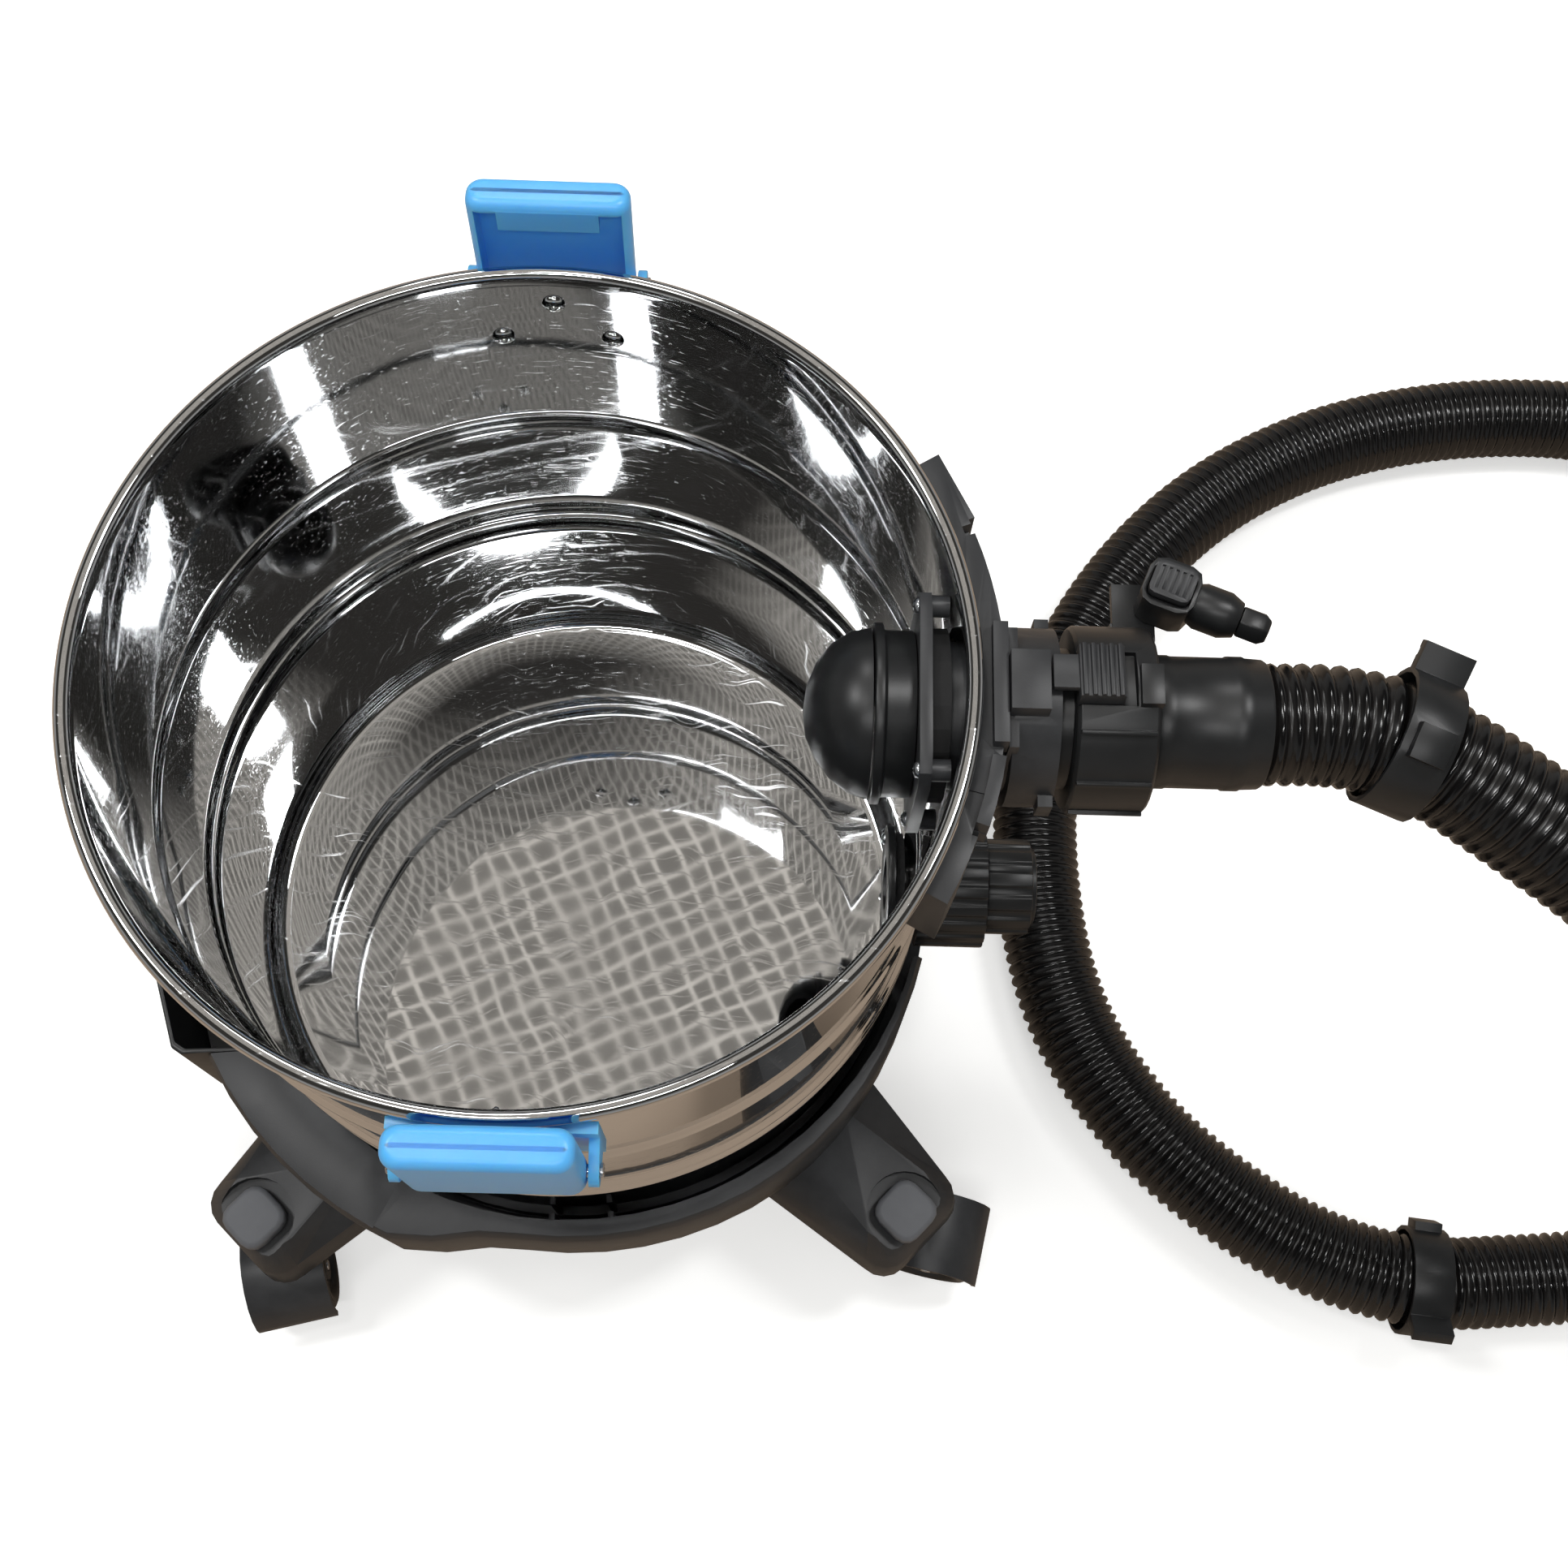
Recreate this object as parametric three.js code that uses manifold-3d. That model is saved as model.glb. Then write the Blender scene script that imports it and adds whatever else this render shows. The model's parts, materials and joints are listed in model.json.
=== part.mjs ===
// Open stainless tank of a wet vacuum cleaner on a four-leg castor base, with its suction hose.
// Millimetres, +Z up, standing on z = 0, the suction inlet on the +X side.
import * as THREE from 'three';
import { mergeVertices } from 'three/addons/utils/BufferGeometryUtils.js';
import Module from 'manifold-3d';

const wasm = await Module();
wasm.setup();

// ---------------------------------------------------------------- driving dimensions

// The tank's axis stands here, so that the origin is under the middle of the machine without its hose.
const AXIS_X = -36.6;
const AXIS_Y = -0.3;

const GAP = 0.35; // play between touching pieces
const HEIGHT = 450; // floor to the top of the rim
const TANK_FLOOR = 97; // inside face of the tank's bottom
const TANK_RADIUS = 173.6; // inside
const TANK_WALL = 1.2;
const TANK_OUT = TANK_RADIUS + TANK_WALL;
const RIM_ROLL = 3.4; // radius of the rolled rim
const BEAD_DEPTH = 2.5;
const BEAD_HALF = 6;
const BEADS = [225, 243, 331]; // heights of the swaged beads
const TANK_SIDES = 48;

const INLET_Z = 404; // height of the suction inlet's axis
const DRAIN_Z = 155; // height of the drain's axis

const RING_TOP = 165; // top of the base ring
const RING_LOW = 105; // lower edge of its skirt
const RING_RADIUS = 192; // outside, at the front and right
const RING_NARROW = 186.5; // outside, beside the drain
const RING_WIDE = 211; // outside, at the rear
const RING_INSIDE = 181.5;
const DISH_LOW = 84;
const DISH_RADIUS = 181;
const SHELF_THICK = 6;

const LEG_ANGLES = { front_left: -133, front_right: -43, back_right: 47, back_left: 137 };
const LEG_TOP = 104;
const LEG_LOW = 66;
const LEG_ROOT = 182.5;
const LEG_TIP = 260;
const SWIVEL_RADIUS = 243; // tank axis to a castor's stem

const WHEEL_RADIUS = 25;
const WHEEL_SIDES = 18;
const WHEEL_WIDTH = 15.5;
const AXLE_Z = WHEEL_RADIUS * Math.cos(Math.PI / WHEEL_SIDES); // a flat of the wheel lies on the floor
const TRAIL = 22; // stem to axle
const TRAIL_ANGLES = { front_left: -76, front_right: -12, back_right: 70, back_left: 165 };

const LATCH_WIDTH = 68;
const LATCH_TOP = 476;
const LATCH_IN = 183.5; // tank axis to the hook's inner face
const LATCH_OUT = 199.5;
const PIVOT_Z = 420;
const PIVOT_R = 191;

const HOSE_RADIUS = 25.5;

const rad = THREE.MathUtils.degToRad;

// ---------------------------------------------------------------- finishes

function finish(color, roughness, metalness) {
  return new THREE.MeshStandardMaterial({ color, roughness, metalness });
}

const MIRROR_STEEL = () => finish('#c8cbcd', 0.08, 1);
const ZINC_STEEL = () => finish('#b9bcbf', 0.3, 1);
const BLACK_PLASTIC = () => finish('#1c1d1f', 0.45, 0);
const GREY_PLASTIC = () => finish('#3a3c3f', 0.55, 0);
const PAD_PLASTIC = () => finish('#6a6c70', 0.6, 0);
const BLUE_PLASTIC = () => finish('#6cc3f6', 0.4, 0);
const HOSE_PLASTIC = () => finish('#121214', 0.3, 0);
const SEAL_RUBBER = () => finish('#0f0f10', 0.8, 0);

// ---------------------------------------------------------------- shape helpers

function toManifold(geometry) {
  const bare = geometry.clone();
  bare.deleteAttribute('normal');
  bare.deleteAttribute('uv');
  const merged = mergeVertices(bare, 1e-4);
  const index = merged.index.array;
  const corners = [];
  for (let i = 0; i < index.length; i += 3) {
    const face = [index[i], index[i + 1], index[i + 2]];
    if (new Set(face).size === 3) corners.push(...face);
  }
  const mesh = new wasm.Mesh({
    numProp: 3,
    vertProperties: new Float32Array(merged.attributes.position.array),
    triVerts: new Uint32Array(corners),
  });
  return new wasm.Manifold(mesh);
}

function toGeometry(manifold) {
  const mesh = manifold.getMesh();
  const geometry = new THREE.BufferGeometry();
  const places = new Float32Array(mesh.vertProperties);
  geometry.setAttribute('position', new THREE.BufferAttribute(places, 3));
  geometry.setIndex(new THREE.BufferAttribute(new Uint32Array(mesh.triVerts), 1));
  geometry.computeVertexNormals();
  return geometry;
}

function join(first, ...others) {
  return toGeometry(others.reduce((sum, next) => sum.add(toManifold(next)), toManifold(first)));
}

function cut(body, ...tools) {
  return toGeometry(tools.reduce((rest, tool) => rest.subtract(toManifold(tool)), toManifold(body)));
}

function box(sizeX, sizeY, sizeZ, x = 0, y = 0, z = 0) {
  return new THREE.BoxGeometry(sizeX, sizeY, sizeZ).translate(x, y, z);
}

// Solid of revolution about +Z from [radius, height] points, which start and end on the axis or close.
function turned(profile, sides) {
  let area = 0;
  profile.forEach(([r, z], i) => {
    const [nextR, nextZ] = profile[(i + 1) % profile.length];
    area += r * nextZ - nextR * z;
  });
  const ordered = area < 0 ? [...profile].reverse() : profile;
  const onAxis = ordered[0][0] === 0;
  const points = (onAxis ? ordered : [...ordered, ordered[0]]).map(([r, z]) => new THREE.Vector2(r, z));
  return new THREE.LatheGeometry(points, sides).rotateX(Math.PI / 2);
}

// The same, about +X: the profile's heights become x, from the tank's axis.
function turnedX(profile, sides, z) {
  return turned(profile, sides).rotateY(Math.PI / 2).translate(0, 0, z);
}

function rod(radius, from, to, sides = 16) {
  return turned([[0, from], [radius, from], [radius, to], [0, to]], sides);
}

function rodX(radius, from, to, z, sides = 24, y = 0) {
  return turnedX([[0, from], [radius, from], [radius, to], [0, to]], sides, z).translate(0, y, 0);
}

function tubeX(outer, inner, from, to, z, sides = 32) {
  return turnedX([[inner, from], [outer, from], [outer, to], [inner, to]], sides, z);
}

// Closed solid through outlines of equal point count, lowest first: [{ z, points }, ...], anticlockwise.
function loft(levels) {
  const count = levels[0].points.length;
  const places = [];
  for (const { z, points } of levels) {
    for (const [x, y] of points) places.push(x, y, z);
  }
  const faces = [];
  for (let level = 0; level + 1 < levels.length; level += 1) {
    for (let i = 0; i < count; i += 1) {
      const a = level * count + i;
      const b = level * count + ((i + 1) % count);
      faces.push(a, b, b + count, a, b + count, a + count);
    }
  }
  const top = (levels.length - 1) * count;
  const outline = levels[0].points.map(([x, y]) => new THREE.Vector2(x, y));
  for (const [a, b, c] of THREE.ShapeUtils.triangulateShape(outline, [])) {
    faces.push(c, b, a, a + top, b + top, c + top);
  }
  const geometry = new THREE.BufferGeometry();
  geometry.setAttribute('position', new THREE.Float32BufferAttribute(places, 3));
  geometry.setIndex(faces);
  return geometry;
}

function prism(points, low, high) {
  return loft([{ z: low, points }, { z: high, points }]);
}

// Rectangle of the given size with round corners, anticlockwise.
function roundRect(sizeX, sizeY, corner, steps = 3) {
  const points = [];
  for (let quarter = 0; quarter < 4; quarter += 1) {
    const x = (sizeX / 2 - corner) * (quarter === 0 || quarter === 3 ? 1 : -1);
    const y = (sizeY / 2 - corner) * (quarter < 2 ? 1 : -1);
    for (let step = 0; step <= steps; step += 1) {
      const angle = (quarter + step / steps) * Math.PI / 2;
      points.push([x + corner * Math.cos(angle), y + corner * Math.sin(angle)]);
    }
  }
  return points;
}

// A sector of a ring seen from above, in degrees.
function sector(inner, outer, from, to, steps) {
  const outside = [];
  const inside = [];
  for (let step = 0; step <= steps; step += 1) {
    const angle = rad(from + (to - from) * step / steps);
    outside.push([outer * Math.cos(angle), outer * Math.sin(angle)]);
    inside.unshift([inner * Math.cos(angle), inner * Math.sin(angle)]);
  }
  return [...outside, ...inside];
}

// ---------------------------------------------------------------- the object

const machine = new THREE.Group();
machine.position.set(AXIS_X, AXIS_Y, 0);

function add(name, geometry, material) {
  const mesh = new THREE.Mesh(geometry, material);
  mesh.name = name;
  machine.add(mesh);
  return mesh;
}

// Turns a piece that was made on the +X side to the given angle about the tank's axis.
function turnedTo(geometry, degrees) {
  return geometry.clone().rotateZ(rad(degrees));
}

// ---- tank

const RIVETS = {
  top: { across: 0, z: 430 },
  left: { across: -24, z: 406 },
  right: { across: 24, z: 406 },
};
const RIVET_HOLE = 2.7;
const INLET_BORE = 32;
const DRAIN_BORE = 20;

function tankWall(offset, heights) {
  return heights.map(([z, bead]) => [TANK_RADIUS + offset + bead, z]);
}

function makeTank() {
  const stations = [[TANK_FLOOR + 8, 0]];
  for (const z of BEADS) {
    stations.push([z - BEAD_HALF, 0], [z, BEAD_DEPTH], [z + BEAD_HALF, 0]);
  }
  const rollR = TANK_RADIUS + RIM_ROLL;
  const rollZ = HEIGHT - RIM_ROLL;
  const roll = [];
  for (let angle = 180; angle >= -90; angle -= 45) {
    roll.push([rollR + RIM_ROLL * Math.cos(rad(angle)), rollZ + RIM_ROLL * Math.sin(rad(angle))]);
  }
  const profile = [
    [0, TANK_FLOOR],
    [TANK_RADIUS - 8, TANK_FLOOR],
    [TANK_RADIUS - 2.4, TANK_FLOOR + 2.4],
    ...tankWall(0, stations),
    ...roll,
    [TANK_OUT, rollZ - RIM_ROLL - 1],
    ...tankWall(TANK_WALL, stations).reverse(),
    [TANK_OUT - 2.4, TANK_FLOOR + 1.4],
    [TANK_OUT - 8, TANK_FLOOR - TANK_WALL],
    [0, TANK_FLOOR - TANK_WALL],
  ];
  const holes = [rodX(INLET_BORE, 150, 200, INLET_Z), rodX(DRAIN_BORE, 150, 200, DRAIN_Z)];
  for (const side of [90, -90]) {
    for (const { across, z } of Object.values(RIVETS)) {
      holes.push(turnedTo(rodX(RIVET_HOLE, 150, 200, z, 8, across), side));
    }
  }
  return cut(turned(profile, TANK_SIDES), ...holes);
}

add('tank_shell', makeTank(), MIRROR_STEEL());

// ---- castor base

function ringRadius(degrees) {
  const fromInlet = Math.abs(((degrees + 540) % 360) - 180);
  const front = THREE.MathUtils.lerp(RING_NARROW, RING_RADIUS, THREE.MathUtils.smoothstep(fromInlet, 15, 60));
  return THREE.MathUtils.lerp(front, RING_WIDE, THREE.MathUtils.smoothstep(fromInlet, 98, 116));
}

function ringOutline(inset) {
  const points = [];
  for (let degrees = 0; degrees < 360; degrees += 6) {
    const r = ringRadius(degrees) - inset;
    points.push([r * Math.cos(rad(degrees)), r * Math.sin(rad(degrees))]);
  }
  return points;
}

// Plan of the accessory pocket, in its own frame: x runs out from the tank, y along the ring.
const POCKET_ANGLE = -161;
const POCKET_IN = 187;
const POCKET_OUT = 224;
const POCKET_LOW = 80;
const POCKET_WALL = 2.5;

function pocketPlan(grow) {
  const halfIn = 42 + grow;
  const halfOut = 33 + grow;
  return [
    [POCKET_IN - grow, -halfIn], [POCKET_OUT + grow - 4, -halfOut - 1], [POCKET_OUT + grow, -halfOut + 4],
    [POCKET_OUT + grow, halfOut - 4], [POCKET_OUT + grow - 4, halfOut + 1], [POCKET_IN - grow, halfIn],
  ];
}

const RIB_ANGLES = [-91.5, -82, 82, 91.5];

function makeDish() {
  const clearTank = TANK_OUT + 1.8;
  const shelf = sector(clearTank, RING_WIDE - 2, 116, 244, 22);
  const ribs = RIB_ANGLES.map((angle) => turnedTo(box(6, 3, 44, 180, 0, 131), angle));
  const solid = join(
    rod(DISH_RADIUS, DISH_LOW, RING_LOW + 4, 60),
    prism(ringOutline(2), RING_LOW, RING_LOW + 5),
    loft([
      { z: RING_LOW, points: ringOutline(0) },
      { z: RING_TOP - 4, points: ringOutline(0) },
      { z: RING_TOP, points: ringOutline(2.5) },
    ]),
  );
  const well = rod(RING_INSIDE, RING_LOW + 5, RING_TOP + 10, 60);
  const cavity = rod(clearTank, TANK_FLOOR - TANK_WALL - GAP, RING_TOP + 20, 60);
  const underShelf = sector(clearTank - 2, RING_WIDE - 6, 118, 242, 22);
  const rearHollow = prism(underShelf, RING_LOW + 5, RING_TOP - SHELF_THICK);
  const hollowed = cut(solid, well, rearHollow);
  return cut(
    join(hollowed, prism(shelf, RING_TOP - SHELF_THICK, RING_TOP), ...ribs),
    cavity,
    box(60, 84, 60, 200, 0, RING_LOW + 5 + 30),
    turnedTo(prism(pocketPlan(GAP), 60, RING_TOP + 10), POCKET_ANGLE),
  );
}

add('base_dish', makeDish(), GREY_PLASTIC());

function makePocket() {
  const outside = prism(pocketPlan(0), POCKET_LOW, RING_TOP);
  const hollow = prism(pocketPlan(-POCKET_WALL), POCKET_LOW + POCKET_WALL, RING_TOP + 5);
  return turnedTo(cut(outside, hollow), POCKET_ANGLE);
}

add('accessory_pocket', makePocket(), BLACK_PLASTIC());

// ---- legs, their caps and the castors, made on the +X side

const LEG_RECESS = 21;
const STEM_BORE = 6.4;
const STEM_RADIUS = 6;
const STEM_TOP = 92;

function legOutline(inset, rootInset = inset) {
  const rootHalf = 40 - rootInset;
  const tipHalf = 31 - inset;
  const corner = 15;
  const tip = LEG_TIP - inset;
  const points = [[LEG_ROOT, rootHalf], [LEG_ROOT, -rootHalf]];
  for (let angle = -90; angle <= 90; angle += 22.5) {
    const side = angle < 0 || (angle === 0) ? -1 : 1;
    if (angle === 0) {
      points.push([tip, -(tipHalf - corner)], [tip, tipHalf - corner]);
    } else {
      const x = tip - corner + corner * Math.cos(rad(angle));
      points.push([x, side * (tipHalf - corner) + corner * Math.sin(rad(angle))]);
    }
  }
  return points;
}

function makeLeg() {
  const arm = loft([
    { z: LEG_LOW, points: legOutline(-2) },
    { z: LEG_TOP - 16, points: legOutline(0) },
    { z: LEG_TOP, points: legOutline(9, 24) },
  ]);
  const tongue = box(60, 48, DISH_LOW - GAP - LEG_LOW, 156, 0, (DISH_LOW - GAP + LEG_LOW) / 2);
  return cut(
    join(arm, tongue),
    rod(LEG_RECESS, LEG_TOP - 6, LEG_TOP + 5, 24).translate(SWIVEL_RADIUS, 0, 0),
    rod(STEM_BORE, LEG_LOW - 5, STEM_TOP + 1, 12).translate(SWIVEL_RADIUS, 0, 0),
  );
}

function makeLegCap() {
  const low = LEG_TOP - 6 + GAP;
  return loft([
    { z: low, points: roundRect(28, 28, 8) },
    { z: LEG_TOP + 2, points: roundRect(28, 28, 8) },
    { z: LEG_TOP + 4, points: roundRect(24, 24, 7) },
  ]).translate(SWIVEL_RADIUS, 0, 0);
}

const GUARD_OUT = 29.5;
const GUARD_IN = 26.9;
const HOOD_WIDTH = 44;
const WEB_WIDTH = 9.6;
const AXLE_RADIUS = 3;
const HOOD_TOP = 64;

// About the castor's own stem: x runs towards the wheels.
function acrossRod(radius, width, sides) {
  return rod(radius, -width / 2, width / 2, sides).rotateX(Math.PI / 2).translate(TRAIL, 0, AXLE_Z);
}

function makeHood() {
  const boss = rod(13, AXLE_Z, HOOD_TOP, 16);
  const guard = cut(
    join(acrossRod(GUARD_OUT, HOOD_WIDTH, 20), boss),
    acrossRod(GUARD_IN, HOOD_WIDTH + 10, 20),
    box(120, 80, 60, 0, 0, 28 - 30),
  );
  const web = acrossRod(GUARD_IN + 0.5, WEB_WIDTH, 16);
  return cut(
    join(guard, cut(web, box(120, 80, 60, 0, 0, 9 - 30)), rod(STEM_RADIUS, HOOD_TOP - 3, STEM_TOP, 12)),
    acrossRod(AXLE_RADIUS + GAP, HOOD_WIDTH + 10, 8),
  );
}

function makeWheel(side) {
  const inner = WEB_WIDTH / 2 + 0.6;
  const outer = inner + WHEEL_WIDTH;
  const bore = AXLE_RADIUS + 0.3;
  const wheel = turned([
    [bore, inner], [WHEEL_RADIUS, inner], [WHEEL_RADIUS, outer - 3], [WHEEL_RADIUS - 3, outer],
    [16, outer], [14, outer - 3], [bore, outer - 3],
  ], WHEEL_SIDES);
  const flatDown = wheel.rotateZ(Math.PI / WHEEL_SIDES).rotateX(side * Math.PI / 2);
  return flatDown.translate(TRAIL, 0, AXLE_Z);
}

function placeCastor(geometry, corner) {
  const place = rad(LEG_ANGLES[corner]);
  const turn = rad(TRAIL_ANGLES[corner]);
  const x = SWIVEL_RADIUS * Math.cos(place);
  const y = SWIVEL_RADIUS * Math.sin(place);
  return geometry.clone().rotateZ(turn).translate(x, y, 0);
}

for (const corner of Object.keys(LEG_ANGLES)) {
  const angle = LEG_ANGLES[corner];
  add(`leg_${corner}`, turnedTo(makeLeg(), angle), GREY_PLASTIC());
  add(`leg_cap_${corner}`, turnedTo(makeLegCap(), angle), PAD_PLASTIC());
  add(`castor_hood_${corner}`, placeCastor(makeHood(), corner), GREY_PLASTIC());
  add(`castor_axle_${corner}`, placeCastor(acrossRod(AXLE_RADIUS, 40, 8), corner), ZINC_STEEL());
  add(`castor_wheel_left_${corner}`, placeCastor(makeWheel(-1), corner), BLACK_PLASTIC());
  add(`castor_wheel_right_${corner}`, placeCastor(makeWheel(1), corner), BLACK_PLASTIC());
}

// ---- head latches, made on the +X side: y runs across the latch

const EAR_IN = LATCH_WIDTH / 2 + 0.8;
const EAR_OUT = EAR_IN + 4;
const PIN_RADIUS = 2.5;
const PLATE_IN = 175.8;
const PLATE_OUT = 180.5;

// Plate outline in the x-z plane, extruded across the latch from one y to the other.
function sidePlate(points, fromY, toY) {
  return prism(points, 0, toY - fromY).rotateX(Math.PI / 2).translate(0, toY, 0);
}

function acrossPin(radius, half, sides = 12) {
  return rod(radius, -half, half, sides).rotateX(Math.PI / 2).translate(PIVOT_R, 0, PIVOT_Z);
}

function earOutline() {
  const points = [[PLATE_IN + 1, PIVOT_Z - 12]];
  for (let angle = -90; angle <= 90; angle += 30) {
    points.push([PIVOT_R + 6 * Math.cos(rad(angle)), PIVOT_Z + 6 * Math.sin(rad(angle))]);
  }
  points.push([PLATE_IN + 1, PIVOT_Z + 12]);
  return points;
}

function makeBracket() {
  const plate = box(PLATE_OUT - PLATE_IN, 2 * EAR_OUT, 44, (PLATE_IN + PLATE_OUT) / 2, 0, 418);
  const ears = [-1, 1].map((side) => {
    const low = side > 0 ? EAR_IN : -EAR_OUT;
    return sidePlate(earOutline(), low, low + EAR_OUT - EAR_IN);
  });
  const holes = Object.values(RIVETS).map(({ across, z }) => rodX(RIVET_HOLE, 160, 190, z, 8, across));
  return cut(join(plate, ...ears), acrossPin(PIN_RADIUS + GAP, 60), ...holes);
}

function makeLatch() {
  const half = LATCH_WIDTH / 2;
  const low = PIVOT_Z - 7;
  const side = [[PIVOT_R - 7, PIVOT_Z - 5], [PIVOT_R - 3, low], [LATCH_OUT - 6, low], [LATCH_OUT, low + 8]];
  const profile = [...side, [LATCH_OUT, LATCH_TOP - 8], [LATCH_OUT - 2.3, LATCH_TOP - 2.3],
    [LATCH_OUT - 8, LATCH_TOP], [LATCH_IN, LATCH_TOP], [LATCH_IN, LATCH_TOP - 5]];
  const block = sidePlate(profile, -half, half);
  const hollow = box(40, LATCH_WIDTH - 7, 100, LATCH_OUT - 3.5 - 20, 0, LATCH_TOP - 5 - 50);
  const hook = box(4.5, 42, 12, LATCH_IN + 2.25, 0, LATCH_TOP - 9);
  return cut(join(cut(block, hollow), hook), acrossPin(PIN_RADIUS + GAP, 60));
}

function makeRivet({ across, z }) {
  const wall = Math.sqrt(TANK_RADIUS ** 2 - (Math.abs(across) + 5) ** 2) - 1;
  const head = [[0, wall - 3.2], [3.2, wall - 2.4], [5, wall - GAP], [2.3, wall - GAP]];
  const tail = [[2.3, PLATE_OUT + 0.4], [4, PLATE_OUT + 0.4], [3.4, PLATE_OUT + 1.8], [0, PLATE_OUT + 2.2]];
  return turnedX([...head, ...tail], 10, z).translate(0, across, 0);
}

// The levers are loose: the back one leans out a little.
function leaning(latch, degrees) {
  return latch.translate(-PIVOT_R, 0, -PIVOT_Z).rotateY(rad(degrees)).translate(PIVOT_R, 0, PIVOT_Z);
}

for (const [name, angle, lean] of [['back', 90, 5.5], ['front', -90, 0]]) {
  add(`latch_bracket_${name}`, turnedTo(makeBracket(), angle), BLUE_PLASTIC());
  add(`latch_pin_${name}`, turnedTo(acrossPin(PIN_RADIUS, EAR_OUT + 1.5), angle), ZINC_STEEL());
  add(`latch_${name}`, turnedTo(leaning(makeLatch(), lean), angle), BLUE_PLASTIC());
  for (const [place, rivet] of Object.entries(RIVETS)) {
    add(`latch_rivet_${place}_${name}`, turnedTo(makeRivet(rivet), angle), ZINC_STEEL());
  }
}

// ---- suction inlet

const SOCKET_OUT = 37;
const SOCKET_IN = 29.4;
const TUBE_OUT = 30.4;
const TUBE_IN = 26.5;
const FLANGE_IN = 155.5; // inner flange, from the tank's axis
const FLANGE_OUT = 160.5;
const PLATE_FACE = 190.5; // outside of the curved plate, from the tank's axis
const PLATE_TOP = 438;
const SOCKET_FACE = 191; // back of the socket's flange
const SOCKET_MOUTH = 212;

function makeInletPlate() {
  const inner = TANK_OUT + 1;
  const middle = prism(sector(inner, PLATE_FACE, -14, 17, 10), 362, PLATE_TOP);
  const upper = prism(sector(inner, PLATE_FACE, -10, 24, 11), 384, PLATE_TOP);
  const farEnd = prism(sector(inner, PLATE_FACE + 2.5, 22.5, 32, 1), 384, PLATE_TOP);
  const nearEnd = prism(sector(inner, PLATE_FACE - 1.5, -28.3, -13, 5), 384, PLATE_TOP - 1);
  const lip = box(6, 51, 12, PLATE_FACE - 3, 0, PLATE_TOP);
  const sideLip = prism(sector(PLATE_FACE - 4, PLATE_FACE + 1.5, -18, -9, 3), 420, PLATE_TOP + 2);
  const notches = [21.2, -18.6].map((angle) => turnedTo(box(8, 4.5, 16, PLATE_FACE, 0, PLATE_TOP), angle));
  return cut(
    join(middle, upper, farEnd, nearEnd, lip, sideLip),
    rodX(TUBE_OUT + GAP, 160, 210, INLET_Z, 28),
    ...notches,
  );
}

function makeSocket() {
  const flange = box(4, 51, 70, SOCKET_FACE + 2, 0, INLET_Z - 1);
  const mouth = tubeX(SOCKET_OUT, TUBE_IN, SOCKET_FACE + 2, SOCKET_MOUTH, INLET_Z, 28);
  const through = tubeX(TUBE_OUT, TUBE_IN, 150, SOCKET_FACE + 3, INLET_Z, 28);
  const key = box(15.5, 25, 12, 198.9, 0, INLET_Z + 37);
  const lugs = [-1, 1].map((side) => box(6, 5, 12, SOCKET_MOUTH - 3.5, side * 38.5, INLET_Z + 2));
  const bore = rodX(SOCKET_IN, SOCKET_FACE + 3, SOCKET_MOUTH + 5, INLET_Z, 28);
  const passage = rodX(TUBE_IN, 140, SOCKET_FACE + 5, INLET_Z, 28);
  return cut(join(mouth, flange, through, key, ...lugs), bore, passage);
}

const POST_ACROSS = 35;
const POST_UP = 31;

function makeInnerFlange() {
  const plan = roundRect(84, 80, 12, 2);
  const plate = prism(plan, 0, FLANGE_OUT - FLANGE_IN).rotateZ(Math.PI / 2).rotateY(Math.PI / 2);
  const placed = plate.translate(FLANGE_IN, 0, INLET_Z);
  const posts = [];
  for (const side of [-1, 1]) {
    for (const up of [-1, 1]) {
      posts.push(rodX(4.5, FLANGE_OUT - 1, 168, INLET_Z + up * POST_UP, 12, side * POST_ACROSS));
    }
  }
  return cut(join(placed, ...posts), rodX(TUBE_OUT + GAP, 140, 180, INLET_Z, 28));
}

function makeInletCup() {
  const back = FLANGE_IN - GAP;
  const bore = TUBE_OUT + GAP;
  const body = [[bore, back], [34.5, back], [34.5, 143], [37.5, 142.4], [37.5, 138.6], [bore, 138]];
  return turnedX(body, 28, INLET_Z);
}

// Beak over the inlet's mouth: half an ellipsoid shell, cut off slantwise, so the water is thrown down and round.
const BEAK_CUT = new THREE.Vector3(0.592, 0.359, 0.721).normalize();

function makeDeflector() {
  const mouth = 137.6;
  const shell = (radius, length) => {
    const profile = [[0, mouth]];
    for (let step = 0; step <= 5; step += 1) {
      const angle = step * Math.PI / 10;
      profile.push([radius * Math.cos(angle), mouth - length * Math.sin(angle)]);
    }
    profile[profile.length - 1][0] = 0;
    return turnedX(profile, 24, INLET_Z);
  };
  const inner = shell(32.4, 23.5);
  const open = rodX(32.4, mouth - 0.5, mouth + 5, INLET_Z, 24);
  const level = new THREE.Vector3(0, 0, 1);
  const slant = box(160, 160, 60, 0, 0, -30).applyQuaternion(new THREE.Quaternion().setFromUnitVectors(level, BEAK_CUT));
  return cut(shell(35.5, 27), inner, open, slant.translate(mouth, -33, INLET_Z - 11));
}

add('inlet_plate', makeInletPlate(), GREY_PLASTIC());
add('inlet_socket', makeSocket(), GREY_PLASTIC());
add('inlet_seal', tubeX(36, TUBE_OUT + GAP, FLANGE_OUT + GAP, 168.4, INLET_Z, 24), SEAL_RUBBER());
add('inner_flange', makeInnerFlange(), GREY_PLASTIC());
add('inlet_cup', makeInletCup(), BLACK_PLASTIC());
add('inlet_deflector', makeDeflector(), BLACK_PLASTIC());

// ---- hose connector

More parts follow.
